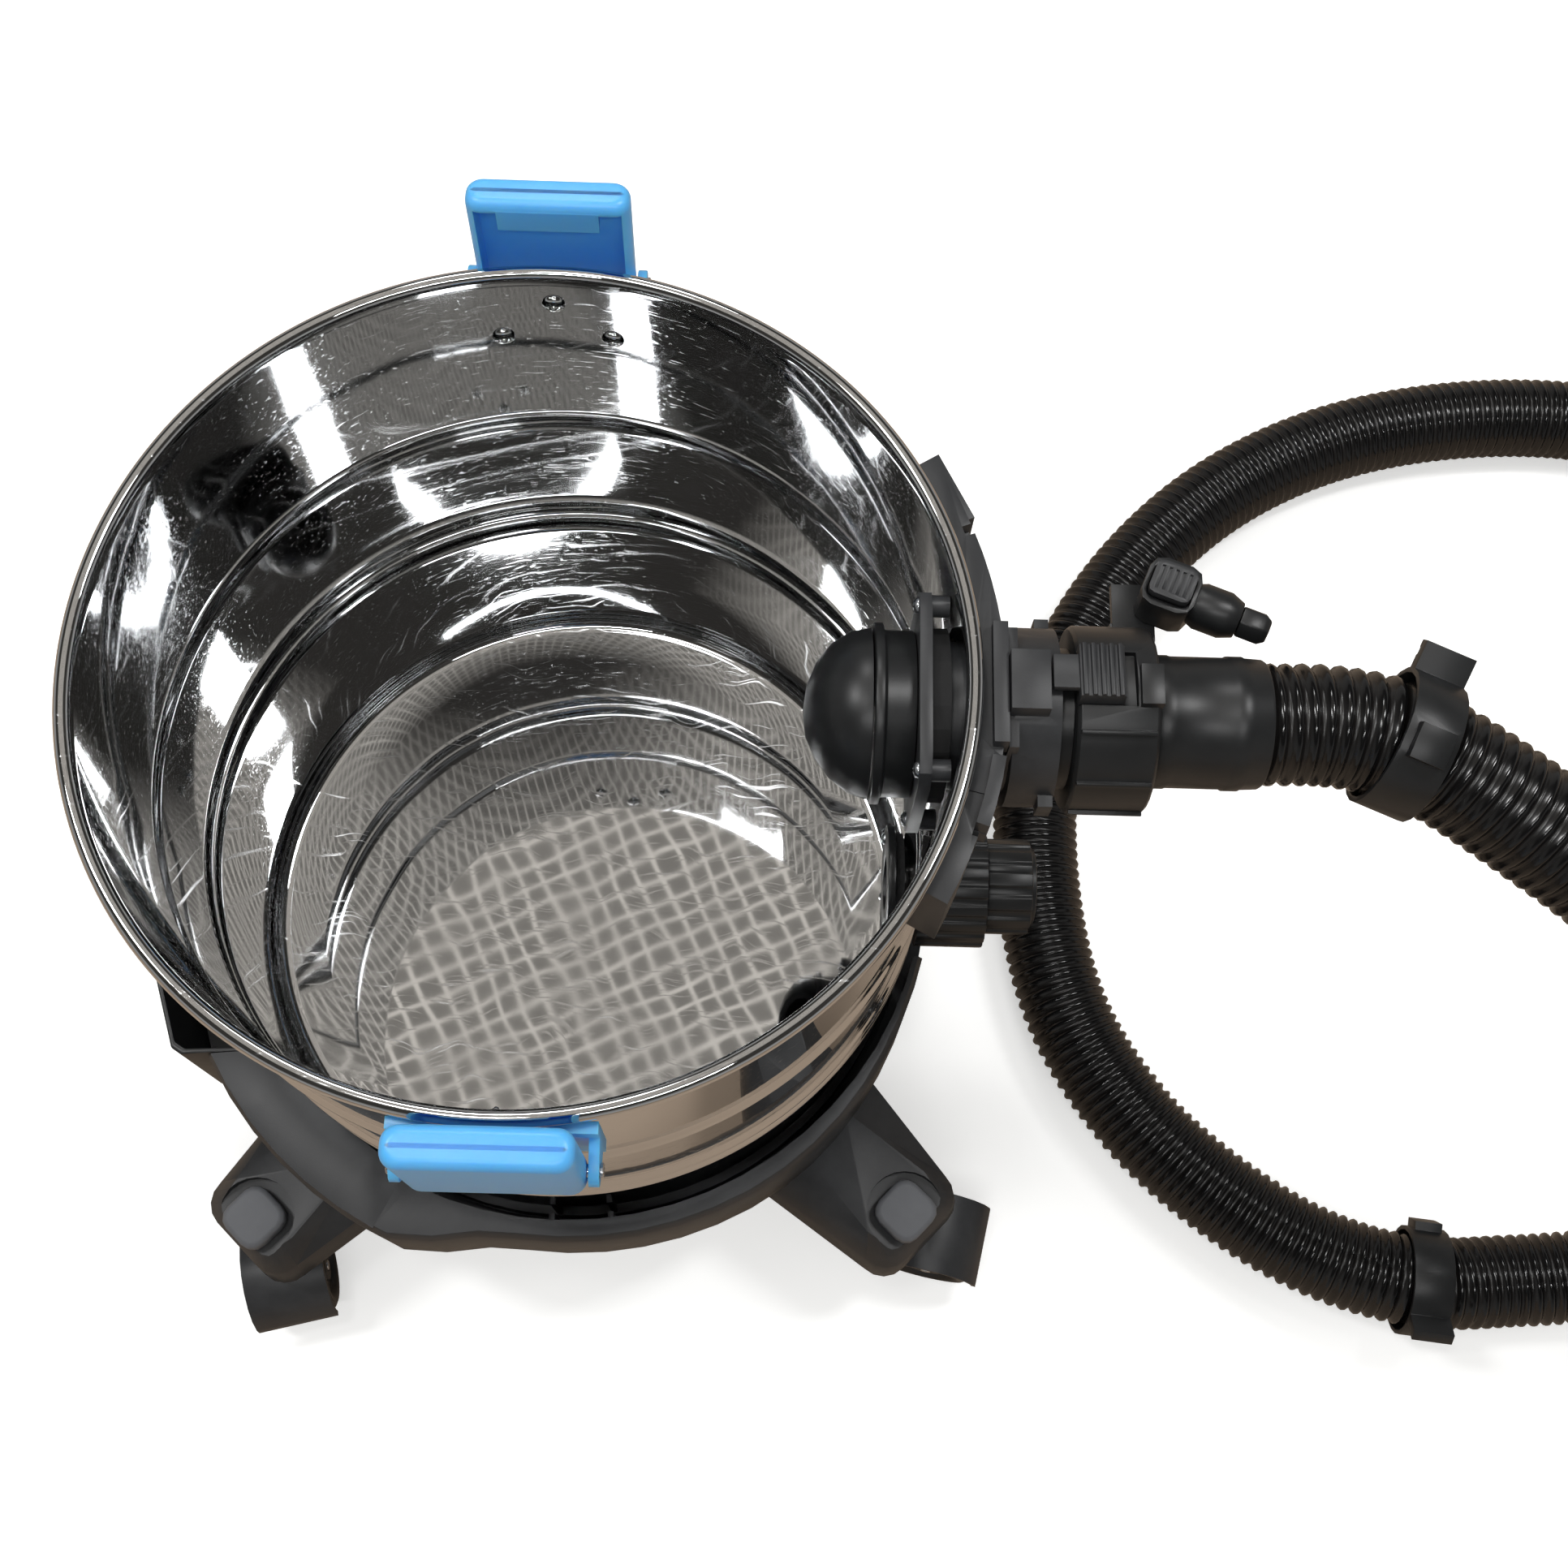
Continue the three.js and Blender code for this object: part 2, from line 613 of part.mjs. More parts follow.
const COLLAR_RADIUS = 38.5;
const COLLAR_FROM = 218;
const COLLAR_TO = 251;
const BUTTON_TURN = 6; // degrees about the connector's axis, towards the back

// Turns a piece about the inlet's axis; positive leans its top towards the back.
function aboutInlet(geometry, degrees) {
  return geometry.translate(0, 0, -INLET_Z).rotateX(rad(-degrees)).translate(0, 0, INLET_Z);
}

function makeCollar() {
  const shell = turnedX([
    [24, 195], [SOCKET_IN - GAP, 195], [SOCKET_IN - GAP, COLLAR_FROM], [COLLAR_RADIUS - 1.5, COLLAR_FROM],
    [COLLAR_RADIUS, COLLAR_FROM + 1.5], [COLLAR_RADIUS, COLLAR_TO - 1.5], [COLLAR_RADIUS - 1.5, COLLAR_TO],
    [24, COLLAR_TO],
  ], 32, INLET_Z);
  const ribs = [-28, -62, -96].map((angle) => {
    const rib = box(30, 1.6, 3, (COLLAR_FROM + COLLAR_TO) / 2, 0, INLET_Z + COLLAR_RADIUS);
    return aboutInlet(rib, angle);
  });
  const lug = box(9, 17, 6, 247, 0, INLET_Z + COLLAR_RADIUS);
  const pocket = aboutInlet(box(27.4, 24, 12, 228, 0, INLET_Z + 33.4 + 6), BUTTON_TURN);
  return cut(join(shell, lug, ...ribs), pocket);
}

function makeReleaseButton() {
  const low = INLET_Z + 33.4 + GAP;
  const body = box(18, 23.2, 9.5, 227, 0, low + 4.75);
  const tongue = box(11.5, 15, 3.2, 213.5, 0, INLET_Z + SOCKET_OUT + 3.4);
  const ribs = [0, 1, 2, 3, 4].map((n) => box(1.8, 23.2, 1.8, 219.9 + 3.55 * n, 0, low + 10));
  return aboutInlet(join(body, tongue, ...ribs), BUTTON_TURN);
}

function makeCuff() {
  const root = COLLAR_TO + GAP;
  return turnedX([[22.5, root], [27.8, root], [27.8, 285], [26.6, 299], [22.5, 299]], 28, INLET_Z);
}

add('connector_collar', makeCollar(), BLACK_PLASTIC());
add('release_button', makeReleaseButton(), GREY_PLASTIC());
add('hose_cuff', makeCuff(), BLACK_PLASTIC());

// ---- solution quick coupler on its rest, made along +X about its own middle

const COUPLER_PLACE = new THREE.Vector3(263, 56, 408);
const COUPLER_AIM = new THREE.Vector3(0.93, -0.37, 0.02).normalize();

function placeCoupler(geometry) {
  const side = new THREE.Vector3(0, 0, 1).cross(COUPLER_AIM).normalize();
  const up = new THREE.Vector3().crossVectors(COUPLER_AIM, side);
  const matrix = new THREE.Matrix4().makeBasis(COUPLER_AIM, side, up).setPosition(COUPLER_PLACE);
  return geometry.applyMatrix4(matrix);
}

function makeCouplerBody() {
  const block = prism(roundRect(23, 23, 6, 2), -10, 9);
  const barrel = turnedX([[0, 9], [8, 9], [10, 14], [10, 25], [7.6, 31], [0, 31]], 16, 0);
  const mouth = rodX(6, -20, 2, 0, 12);
  const well = prism(roundRect(18.8, 16.8, 3, 2), 6.5, 20);
  return placeCoupler(cut(join(block, barrel), mouth, well));
}

function makeCouplerButton() {
  const pad = prism(roundRect(18, 16, 3, 2), 9, 13);
  const grooves = [-2, -1, 0, 1, 2].map((n) => box(1.4, 11, 2, n * 3, 0, 13));
  return placeCoupler(cut(pad, ...grooves));
}

function makeCouplerNut() {
  return placeCoupler(turnedX([[0, 31 + GAP], [7.4, 31 + GAP], [7.4, 41], [5.2, 44], [0, 44]], 6, 0));
}

function makeCouplerRest() {
  const shelf = box(18, 26, 4, 250, 52, 395.4);
  const foot = box(10, 12, 14, 245, 41, 390);
  return cut(join(shelf, foot), rodX(COLLAR_RADIUS + GAP, 200, 300, INLET_Z, 32));
}

add('coupler_body', makeCouplerBody(), BLACK_PLASTIC());
add('coupler_button', makeCouplerButton(), GREY_PLASTIC());
add('coupler_nut', makeCouplerNut(), BLACK_PLASTIC());
add('coupler_rest', makeCouplerRest(), BLACK_PLASTIC());

// ---- drain

function makeDrainPort() {
  const pipe = tubeX(18.5, 14, 162, 214, DRAIN_Z, 28);
  const flange = tubeX(31, 14, 162, 166, DRAIN_Z, 28);
  return join(pipe, flange);
}

function ribbed(radius, depth, count, from, to, bore) {
  const plan = [];
  for (let tooth = 0; tooth < count; tooth += 1) {
    for (const [share, lift] of [[0, 0], [0.5, 0], [0.6, 1], [0.9, 1]]) {
      const angle = 2 * Math.PI * (tooth + share) / count;
      const r = radius - depth * lift;
      plan.push([r * Math.cos(angle), r * Math.sin(angle)]);
    }
  }
  const body = prism(plan, from, to).rotateY(Math.PI / 2).translate(0, 0, DRAIN_Z);
  return bore > 0 ? cut(body, rodX(bore, from - 5, to + 5, DRAIN_Z, 28)) : body;
}

function makeDrainCap() {
  const skirt = ribbed(25.5, 1.6, 12, 214.7, 238, 0);
  const crown = rodX(21, 237, 240.5, DRAIN_Z, 24);
  return cut(join(skirt, crown), rodX(19, 210, 234, DRAIN_Z, 28));
}

add('drain_port', makeDrainPort(), BLACK_PLASTIC());
add('drain_seal', tubeX(27, 18.5 + GAP, 166 + GAP, 170.6, DRAIN_Z, 28), SEAL_RUBBER());
add('drain_nut', ribbed(33, 1.3, 20, 178, 213.9, 18.5 + GAP), BLACK_PLASTIC());
add('drain_cap', makeDrainCap(), BLACK_PLASTIC());

// ---- suction hose: its middle line from the cuff, over and down to the floor, round the loop to its end

const HOSE_ROUTE = [
  [299.4, 0, 404], [330, 0, 404], [360, -6, 402], [426, -42, 388], [489, -86, 372], [552, -126, 338],
  [604, -160, 284], [636, -182, 218], [642, -192, 152], [624, -192, 90], [584, -184, 46], [530, -187, 31.5],
  [474, -189, 31], [420, -175, 28.5], [369, -146, 26], [318, -101, 26], [279, -38, 26], [263, 45, 26],
  [270, 138, 26], [308, 222, 26], [370, 293, 26], [446, 340, 26], [534, 365, 26], [626, 369, 26],
  [706, 352, 26], [776, 303, 26], [822, 234, 26], [842, 152, 26], [842, 70, 26],
];
const HOSE_STEPS = 76;
const hoseCurve = new THREE.CatmullRomCurve3(
  HOSE_ROUTE.map(([x, y, z]) => new THREE.Vector3(x, y, z)),
  false,
  'centripetal',
);

function makeHose() {
  const section = new THREE.Shape();
  const sides = 8;
  for (let side = 0; side < sides; side += 1) {
    const angle = 2 * Math.PI * side / sides;
    const move = side === 0 ? 'moveTo' : 'lineTo';
    section[move](HOSE_RADIUS * Math.cos(angle), HOSE_RADIUS * Math.sin(angle));
  }
  return new THREE.ExtrudeGeometry(section, { steps: HOSE_STEPS, extrudePath: hoseCurve, bevelEnabled: false });
}

add('suction_hose', makeHose(), HOSE_PLASTIC());

// A piece made along +X about its own middle, put on the hose at one of the route's points.
function onHose(geometry, station) {
  const share = station / (HOSE_ROUTE.length - 1);
  const along = hoseCurve.getTangent(share);
  const side = new THREE.Vector3(0, 0, 1).cross(along).normalize();
  const up = new THREE.Vector3().crossVectors(along, side);
  const matrix = new THREE.Matrix4().makeBasis(along, side, up).setPosition(hoseCurve.getPoint(share));
  return geometry.applyMatrix4(matrix);
}

const CLIP_IN = HOSE_RADIUS + 2.4;
const CLIP_OUT = CLIP_IN + 2.4;
const CLIP_WIDTH = 22;

// Strap round the hose with a folded tab and a buckle, each turned about the hose from its top.
function makeClip(tabAngle, buckleAngle) {
  const half = CLIP_WIDTH / 2;
  const strap = tubeX(CLIP_OUT, CLIP_IN, -half, half, 0, 24);
  const buckle = box(15, 15, 5, 0, 0, CLIP_OUT + 1.5).rotateX(rad(-buckleAngle));
  const tab = cut(
    box(CLIP_WIDTH, 7, 13, 0, 0, CLIP_OUT + 5.5),
    box(CLIP_WIDTH + 5, 2, 3, 0, 3.5, CLIP_OUT + 7),
  ).rotateX(rad(-tabAngle));
  return cut(join(strap, buckle, tab), rodX(CLIP_IN, -20, 20, 0, 24));
}

const CLIPS = {
  high: { station: 2, tabAngle: 64, buckleAngle: -20 },
  low: { station: 12, tabAngle: 50, buckleAngle: -75 },
};

for (const [name, { station, tabAngle, buckleAngle }] of Object.entries(CLIPS)) {
  add(`hose_clip_${name}`, onHose(makeClip(tabAngle, buckleAngle), station), BLACK_PLASTIC());
}

function makeToolCuff() {
  const profile = [[0, GAP], [25.5, GAP], [25.5, 42], [21, 50], [19, 92], [16, 92], [17.5, 60], [0, 60]];
  return turnedX(profile, 24, 0);
}

add('tool_cuff', onHose(makeToolCuff(), HOSE_ROUTE.length - 1), BLACK_PLASTIC());

export default machine;
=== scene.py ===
"""Looks of an open stainless wet vacuum tank on a castor base, with its latches, inlet, drain and hose.

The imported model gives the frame: every piece is placed from its nodes' boxes, in metres, +Z up. Sizes that
belong to one sub-assembly are fields of its class. Angles are in degrees unless a name says otherwise.
"""
from __future__ import annotations

import json
import logging
import math
from collections.abc import Callable, Iterable, Sequence
from dataclasses import dataclass, field
from enum import Enum

import bmesh
import bpy
from mathutils import Matrix, Vector

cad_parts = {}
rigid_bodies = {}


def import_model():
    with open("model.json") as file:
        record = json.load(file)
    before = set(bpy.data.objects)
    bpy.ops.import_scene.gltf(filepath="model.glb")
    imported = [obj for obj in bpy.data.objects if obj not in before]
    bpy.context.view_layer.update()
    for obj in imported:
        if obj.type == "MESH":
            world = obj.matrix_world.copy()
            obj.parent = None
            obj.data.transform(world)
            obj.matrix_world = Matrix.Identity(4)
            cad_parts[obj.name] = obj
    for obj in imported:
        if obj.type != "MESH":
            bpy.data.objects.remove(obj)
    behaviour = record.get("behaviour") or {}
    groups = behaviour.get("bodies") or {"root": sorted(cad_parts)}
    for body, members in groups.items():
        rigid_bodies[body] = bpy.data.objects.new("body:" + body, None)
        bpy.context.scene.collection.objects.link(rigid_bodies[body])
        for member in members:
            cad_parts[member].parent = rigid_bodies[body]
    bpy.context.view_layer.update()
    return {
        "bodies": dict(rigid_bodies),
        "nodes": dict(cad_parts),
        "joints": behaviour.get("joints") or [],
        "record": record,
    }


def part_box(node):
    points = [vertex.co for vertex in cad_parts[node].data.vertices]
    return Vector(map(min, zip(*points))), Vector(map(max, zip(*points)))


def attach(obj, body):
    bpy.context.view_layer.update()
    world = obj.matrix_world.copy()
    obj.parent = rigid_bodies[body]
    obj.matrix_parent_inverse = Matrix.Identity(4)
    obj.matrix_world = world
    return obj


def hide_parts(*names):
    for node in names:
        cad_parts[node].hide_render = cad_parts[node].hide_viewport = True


LOG = logging.getLogger("vacuum_tank")
MM = 0.001
TANK_FRONT_BACK = {"back": 1.0, "front": -1.0}

Point = tuple[float, float]


class Slot(Enum):
    """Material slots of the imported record."""

    MIRROR_STEEL = "mirror_steel"
    ZINC_STEEL = "zinc_steel"
    GREY_PLASTIC = "grey_plastic"
    BLACK_PLASTIC = "black_plastic"
    PAD_PLASTIC = "pad_plastic"
    BLUE_PLASTIC = "blue_plastic"
    SEAL_RUBBER = "seal_rubber"
    HOSE_PLASTIC = "hose_plastic"


class Corner(Enum):
    """The four legs: where each castor stem stands and where its wheels trail, in degrees about +Z."""

    FRONT_LEFT = ("front_left", -133.0, -76.0)
    FRONT_RIGHT = ("front_right", -43.0, -12.0)
    BACK_RIGHT = ("back_right", 47.0, 70.0)
    BACK_LEFT = ("back_left", 137.0, 165.0)

    @property
    def label(self) -> str:
        """The corner's part of the node and body names."""
        return self.value[0]

    @property
    def leg_angle(self) -> float:
        """Direction of the leg from the tank's axis."""
        return self.value[1]

    @property
    def trail_angle(self) -> float:
        """Direction from the castor stem to its wheels."""
        return self.value[2]


# ---------------------------------------------------------------- nodes and colours


def srgb(code: str) -> tuple[float, float, float, float]:
    """Turn a hex sRGB colour into the linear RGBA that Blender's sockets take.

    Args:
        code: Colour as "#rrggbb".

    Returns:
        Linear red, green and blue, with alpha 1.
    """
    channels = [int(code[i:i + 2], 16) / 255 for i in (1, 3, 5)]
    linear = [c / 12.92 if c <= 0.04045 else ((c + 0.055) / 1.055) ** 2.4 for c in channels]
    return linear[0], linear[1], linear[2], 1.0


def add_node(
    tree: bpy.types.NodeTree,
    kind: str,
    settings: dict[str | int, object] | None = None,
    links: dict[str | int, bpy.types.NodeSocket] | None = None,
) -> bpy.types.Node:
    """Add a node with its settings and its incoming links.

    Args:
        tree: Node tree that gets the node.
        kind: Blender's type name of the node.
        settings: Node properties by their names, and input values by socket name or number.
        links: Output sockets to link, by this node's input socket name or number.

    Returns:
        The new node.
    """
    node = tree.nodes.new(kind)
    for name, value in (settings or {}).items():
        if isinstance(name, str) and hasattr(node, name):
            setattr(node, name, value)
        else:
            node.inputs[name].default_value = value
    for name, source in (links or {}).items():
        tree.links.new(source, node.inputs[name])
    return node


def per_metre(size_mm: float) -> float:
    """Scale of a noise whose features are about size_mm across, on Object coordinates in metres."""
    return 1000.0 / size_mm


def blank_material(name: str) -> tuple[bpy.types.Material, bpy.types.NodeTree, bpy.types.NodeSocket]:
    """Start a node material.

    Args:
        name: Name of the finish.

    Returns:
        The material, its emptied tree and the surface socket of its output node.
    """
    material = bpy.data.materials.new(name)
    material.use_nodes = True
    tree = material.node_tree
    tree.nodes.clear()
    output = add_node(tree, "ShaderNodeOutputMaterial")
    return material, tree, output.inputs["Surface"]


# ---------------------------------------------------------------- finishes


@dataclass(frozen=True)
class MirrorStainless:
    """Bright-annealed 304 stainless sheet, spun and polished: mirror-like, wavy, marked by wiping."""

    name: str = "mirror_stainless_304"
    colour: str = "#d2d3d4"
    roughness: tuple[float, float] = (0.02, 0.05)
    cloud_mm: float = 55.0  # cloudy marks of drying water
    wave_mm: float = 46.0  # sheet that springs a little between its beads
    scratch_mm: float = 0.9  # wiping scratches, drawn wider than they are so that they show

    def build(self) -> bpy.types.Material:
        """Build the material: waviness and scratches bump the mirror, cloudy marks roughen it.

        Returns:
            The material.
        """
        material, tree, surface = blank_material(self.name)
        where = add_node(tree, "ShaderNodeTexCoord").outputs["Object"]
        clouds = add_node(
            tree, "ShaderNodeTexNoise",
            {"Scale": per_metre(self.cloud_mm), "Detail": 4.0, "Roughness": 0.62}, {"Vector": where},
        )
        low, high = self.roughness
        rough = add_node(
            tree, "ShaderNodeMapRange",
            {"From Min": 0.35, "From Max": 0.75, "To Min": low, "To Max": high}, {"Value": clouds.outputs[0]},
        )
        waves = add_node(
            tree, "ShaderNodeTexNoise", {"Scale": per_metre(self.wave_mm), "Detail": 0.5}, {"Vector": where}
        )
        drawn = add_node(tree, "ShaderNodeMapping", {"Scale": (0.06, 0.06, 1.0)}, {"Vector": where})
        lines = add_node(
            tree, "ShaderNodeTexNoise", {"Scale": per_metre(self.scratch_mm), "Detail": 2.0},
            {"Vector": drawn.outputs[0]},
        )
        bent = add_node(
            tree, "ShaderNodeTexNoise", {"Scale": per_metre(25), "Detail": 1.0}, {"Vector": where}
        )
        warped = add_node(
            tree, "ShaderNodeVectorMath", {"operation": "MULTIPLY_ADD", 1: (0.02, 0.02, 0.0)},
            {0: bent.outputs["Color"], 2: where},
        )
        wiped = add_node(
            tree, "ShaderNodeMapping", {"Rotation": (0.0, 0.0, math.radians(38)), "Scale": (0.05, 1.0, 1.0)},
            {"Vector": warped.outputs[0]},
        )
        wiping = add_node(
            tree, "ShaderNodeTexNoise", {"Scale": per_metre(1.6), "Detail": 3.0}, {"Vector": wiped.outputs[0]}
        )
        strokes = add_node(
            tree, "ShaderNodeMapRange", {"From Min": 0.6, "From Max": 0.72, "To Max": 0.2},
            {"Value": wiping.outputs[0]},
        )
        marked = add_node(
            tree, "ShaderNodeMath", {"operation": "ADD"}, {0: rough.outputs[0], 1: strokes.outputs[0]}
        )
        fine = add_node(
            tree, "ShaderNodeBump", {"Strength": 0.5, "Distance": 0.0000012}, {"Height": lines.outputs[0]}
        )
        wipes = add_node(
            tree, "ShaderNodeBump", {"Strength": 0.5, "Distance": 0.000012},
            {"Height": strokes.outputs[0], "Normal": fine.outputs[0]},
        )
        sheet = add_node(
            tree, "ShaderNodeBump", {"Strength": 0.5, "Distance": 0.0002},
            {"Height": waves.outputs[0], "Normal": wipes.outputs[0]},
        )
        shader = add_node(
            tree, "ShaderNodeBsdfPrincipled",
            {"Base Color": srgb(self.colour), "Metallic": 1.0, "Anisotropic": 0.3},
            {"Roughness": marked.outputs[0], "Normal": sheet.outputs[0]},
        )
        tree.links.new(shader.outputs[0], surface)
        return material


@dataclass(frozen=True)
class BrightZinc:
    """Zinc-plated mild steel: bluish, a little cloudy, with soft highlights."""

    name: str = "bright_zinc_plate"
    colour: str = "#c3c6ca"
    crystal_mm: float = 2.2

    def build(self) -> bpy.types.Material:
        """Build the material: plating clouds vary the roughness.

        Returns:
            The material.
        """
        material, tree, surface = blank_material(self.name)
        where = add_node(tree, "ShaderNodeTexCoord").outputs["Object"]
        clouds = add_node(
            tree, "ShaderNodeTexNoise", {"Scale": per_metre(self.crystal_mm), "Detail": 3.0},
            {"Vector": where},
        )
        rough = add_node(
            tree, "ShaderNodeMapRange", {"To Min": 0.16, "To Max": 0.38}, {"Value": clouds.outputs[0]}
        )
        shader = add_node(
            tree, "ShaderNodeBsdfPrincipled", {"Base Color": srgb(self.colour), "Metallic": 1.0},
            {"Roughness": rough.outputs[0]},
        )
        tree.links.new(shader.outputs[0], surface)
        return material


@dataclass(frozen=True)
class MouldedPlastic:
    """Injection-moulded plastic from a spark-eroded tool: fine grain, faint flow clouds, scuffs."""

    name: str
    colour: str
    scuffed: str  # colour where it is rubbed or dusty
    roughness: float
    ior: float = 1.49
    cloud_mm: float = 38.0
    grain_mm: float = 0.7  # the real grain is finer; this is as fine as the picture shows
    grain_depth: float = 0.00006
    scuff_share: float = 0.5
    glow_through: float = 0.0  # share of light that goes through a thin wall

    def build(self) -> bpy.types.Material:
        """Build the material: scuffs lighten and roughen the colour, grain bumps it.

        Returns:
            The material.
        """
        material, tree, surface = blank_material(self.name)
        where = add_node(tree, "ShaderNodeTexCoord").outputs["Object"]
        clouds = add_node(
            tree, "ShaderNodeTexNoise",
            {"Scale": per_metre(self.cloud_mm), "Detail": 5.0, "Roughness": 0.65}, {"Vector": where},
        )
        worn = add_node(
            tree, "ShaderNodeMapRange",
            {"From Min": 0.42, "From Max": 0.78, "To Min": 0.0, "To Max": self.scuff_share},
            {"Value": clouds.outputs[0]},
        )
        colour = add_node(
            tree, "ShaderNodeMix", {"data_type": "RGBA", 6: srgb(self.colour), 7: srgb(self.scuffed)},
            {0: worn.outputs[0]},
        )
        rough = add_node(
            tree, "ShaderNodeMapRange",
            {"To Min": self.roughness - 0.05, "To Max": self.roughness + 0.12}, {"Value": clouds.outputs[0]},
        )
        grain = add_node(
            tree, "ShaderNodeTexNoise", {"Scale": per_metre(self.grain_mm), "Detail": 2.0}, {"Vector": where}
        )
        bump = add_node(
            tree, "ShaderNodeBump", {"Strength": 0.5, "Distance": self.grain_depth},
            {"Height": grain.outputs[0]},
        )
        shader = add_node(
            tree, "ShaderNodeBsdfPrincipled",
            {"IOR": self.ior, "Subsurface Weight": self.glow_through, "Subsurface Radius": (0.25, 0.6, 1.0),
             "Subsurface Scale": 0.006},
            {"Base Color": colour.outputs[2], "Roughness": rough.outputs[0], "Normal": bump.outputs[0]},
        )
        tree.links.new(shader.outputs[0], surface)
        return material


@dataclass(frozen=True)
class HosePolyethylene:
    """Blown corrugated polyethylene: glossy black on the ridges, dull brown dust down in the grooves."""

    name: str = "corrugated_polyethylene"
    ridge: str = "#0b0b0c"
    dust: str = "#1b1816"
    attribute: str = "groove"  # 0 on a ridge, 1 at the bottom of a groove

    def build(self) -> bpy.types.Material:
        """Build the material: the groove attribute brings in the dust.

        Returns:
            The material.
        """
        material, tree, surface = blank_material(self.name)
        where = add_node(tree, "ShaderNodeTexCoord").outputs["Object"]
        groove = add_node(tree, "ShaderNodeAttribute", {"attribute_name": self.attribute})
        patches = add_node(
            tree, "ShaderNodeTexNoise", {"Scale": per_metre(24), "Detail": 4.0}, {"Vector": where}
        )
        dusty = add_node(
            tree, "ShaderNodeMath", {"operation": "MULTIPLY"},
            {0: groove.outputs["Fac"], 1: patches.outputs[0]},
        )
        colour = add_node(
            tree, "ShaderNodeMix", {"data_type": "RGBA", 6: srgb(self.ridge), 7: srgb(self.dust)},
            {0: dusty.outputs[0]},
        )
        rough = add_node(
            tree, "ShaderNodeMapRange", {"To Min": 0.13, "To Max": 0.5}, {"Value": dusty.outputs[0]}
        )
        shader = add_node(
            tree, "ShaderNodeBsdfPrincipled", {"IOR": 1.51},
            {"Base Color": colour.outputs[2], "Roughness": rough.outputs[0]},
        )
        tree.links.new(shader.outputs[0], surface)
        return material


@dataclass(frozen=True)
class StudioFloor:
    """Floor of the studio: overexposed white to the camera, tan tiles to everything that reflects it."""

    name: str = "studio_floor"
    seen: str = "#f6f6f5"
    tiles: str = "#b5a28f"
    glow: float = 0.5  # lifts the floor to white, so that only contact shadows show

    def build(self) -> bpy.types.Material:
        """Build the material: camera rays and the other rays get a shader each.

        Returns:
            The material.
        """
        material, tree, surface = blank_material(self.name)
        where = add_node(tree, "ShaderNodeTexCoord").outputs["Object"]
        marks = add_node(tree, "ShaderNodeTexNoise", {"Scale": 9.0, "Detail": 3.0}, {"Vector": where})
        rough = add_node(
            tree, "ShaderNodeMapRange", {"To Min": 0.7, "To Max": 0.9}, {"Value": marks.outputs[0]}
        )
        white = add_node(
            tree, "ShaderNodeBsdfPrincipled",
            {"Base Color": srgb(self.seen), "Specular IOR Level": 0.0, "Emission Color": srgb(self.seen),
             "Emission Strength": self.glow},
            {"Roughness": rough.outputs[0]},
        )
        tan = add_node(
            tree, "ShaderNodeBsdfPrincipled", {"Base Color": srgb(self.tiles), "Specular IOR Level": 0.0},
            {"Roughness": rough.outputs[0]},
        )
        rays = add_node(tree, "ShaderNodeLightPath")
        mixed = add_node(
            tree, "ShaderNodeMixShader",
            links={0: rays.outputs["Is Camera Ray"], 1: tan.outputs[0], 2: white.outputs[0]},
        )
        tree.links.new(mixed.outputs[0], surface)
        return material


@dataclass(frozen=True)
class LatticeCeiling:
    """Open-cell lattice ceiling of the studio, seen only in the polished steel."""

    name: str = "open_cell_ceiling"
    cell_mm: float = 43.0
    bar_share: float = 0.2
    bars: float = 0.85
    cells: float = 0.27
    around: float = 0.05
    turned_by: float = 64.0  # degrees from the room's axes
    lit_reach: float = 1.25  # metres from its middle to where it starts to darken
    dark_reach: float = 1.6
    colour: str = "#fbf4ea"

    def build(self) -> bpy.types.Material:
        """Build the material: a glowing lattice that gives way to a dark ceiling away from its middle.

        Returns:
            The material.
        """
        material, tree, surface = blank_material(self.name)
        where = add_node(tree, "ShaderNodeTexCoord").outputs["Object"]
        turned = add_node(
            tree, "ShaderNodeMapping", {"Rotation": (0.0, 0.0, math.radians(self.turned_by))},
            {"Vector": where},
        )
        axes = add_node(tree, "ShaderNodeSeparateXYZ", links={"Vector": turned.outputs[0]})
        on_bar = []
        for axis in (0, 1):
            cells = add_node(
                tree, "ShaderNodeMath", {"operation": "DIVIDE", 1: self.cell_mm * MM}, {0: axes.outputs[axis]}
            )
            inside = add_node(tree, "ShaderNodeMath", {"operation": "FRACT"}, {0: cells.outputs[0]})
            on_bar.append(add_node(
                tree, "ShaderNodeMath", {"operation": "LESS_THAN", 1: self.bar_share}, {0: inside.outputs[0]}
            ))
        lattice = add_node(
            tree, "ShaderNodeMath", {"operation": "MAXIMUM"},
            {number: bar.outputs[0] for number, bar in enumerate(on_bar)},
        )
        lit = add_node(
            tree, "ShaderNodeMapRange", {"To Min": self.cells, "To Max": self.bars},
            {"Value": lattice.outputs[0]},
        )
        away = add_node(tree, "ShaderNodeVectorMath", {"operation": "LENGTH"}, {0: where})
        edge = add_node(
            tree, "ShaderNodeMapRange", {"From Min": self.lit_reach, "From Max": self.dark_reach},
            {"Value": away.outputs["Value"]},
        )
        strength = add_node(
            tree, "ShaderNodeMix", {"data_type": "FLOAT", 3: self.around},
            {0: edge.outputs[0], 2: lit.outputs[0]},
        )
        glow = add_node(
            tree, "ShaderNodeEmission", {"Color": srgb(self.colour)}, {"Strength": strength.outputs[0]}
        )
        tree.links.new(glow.outputs[0], surface)
        return material


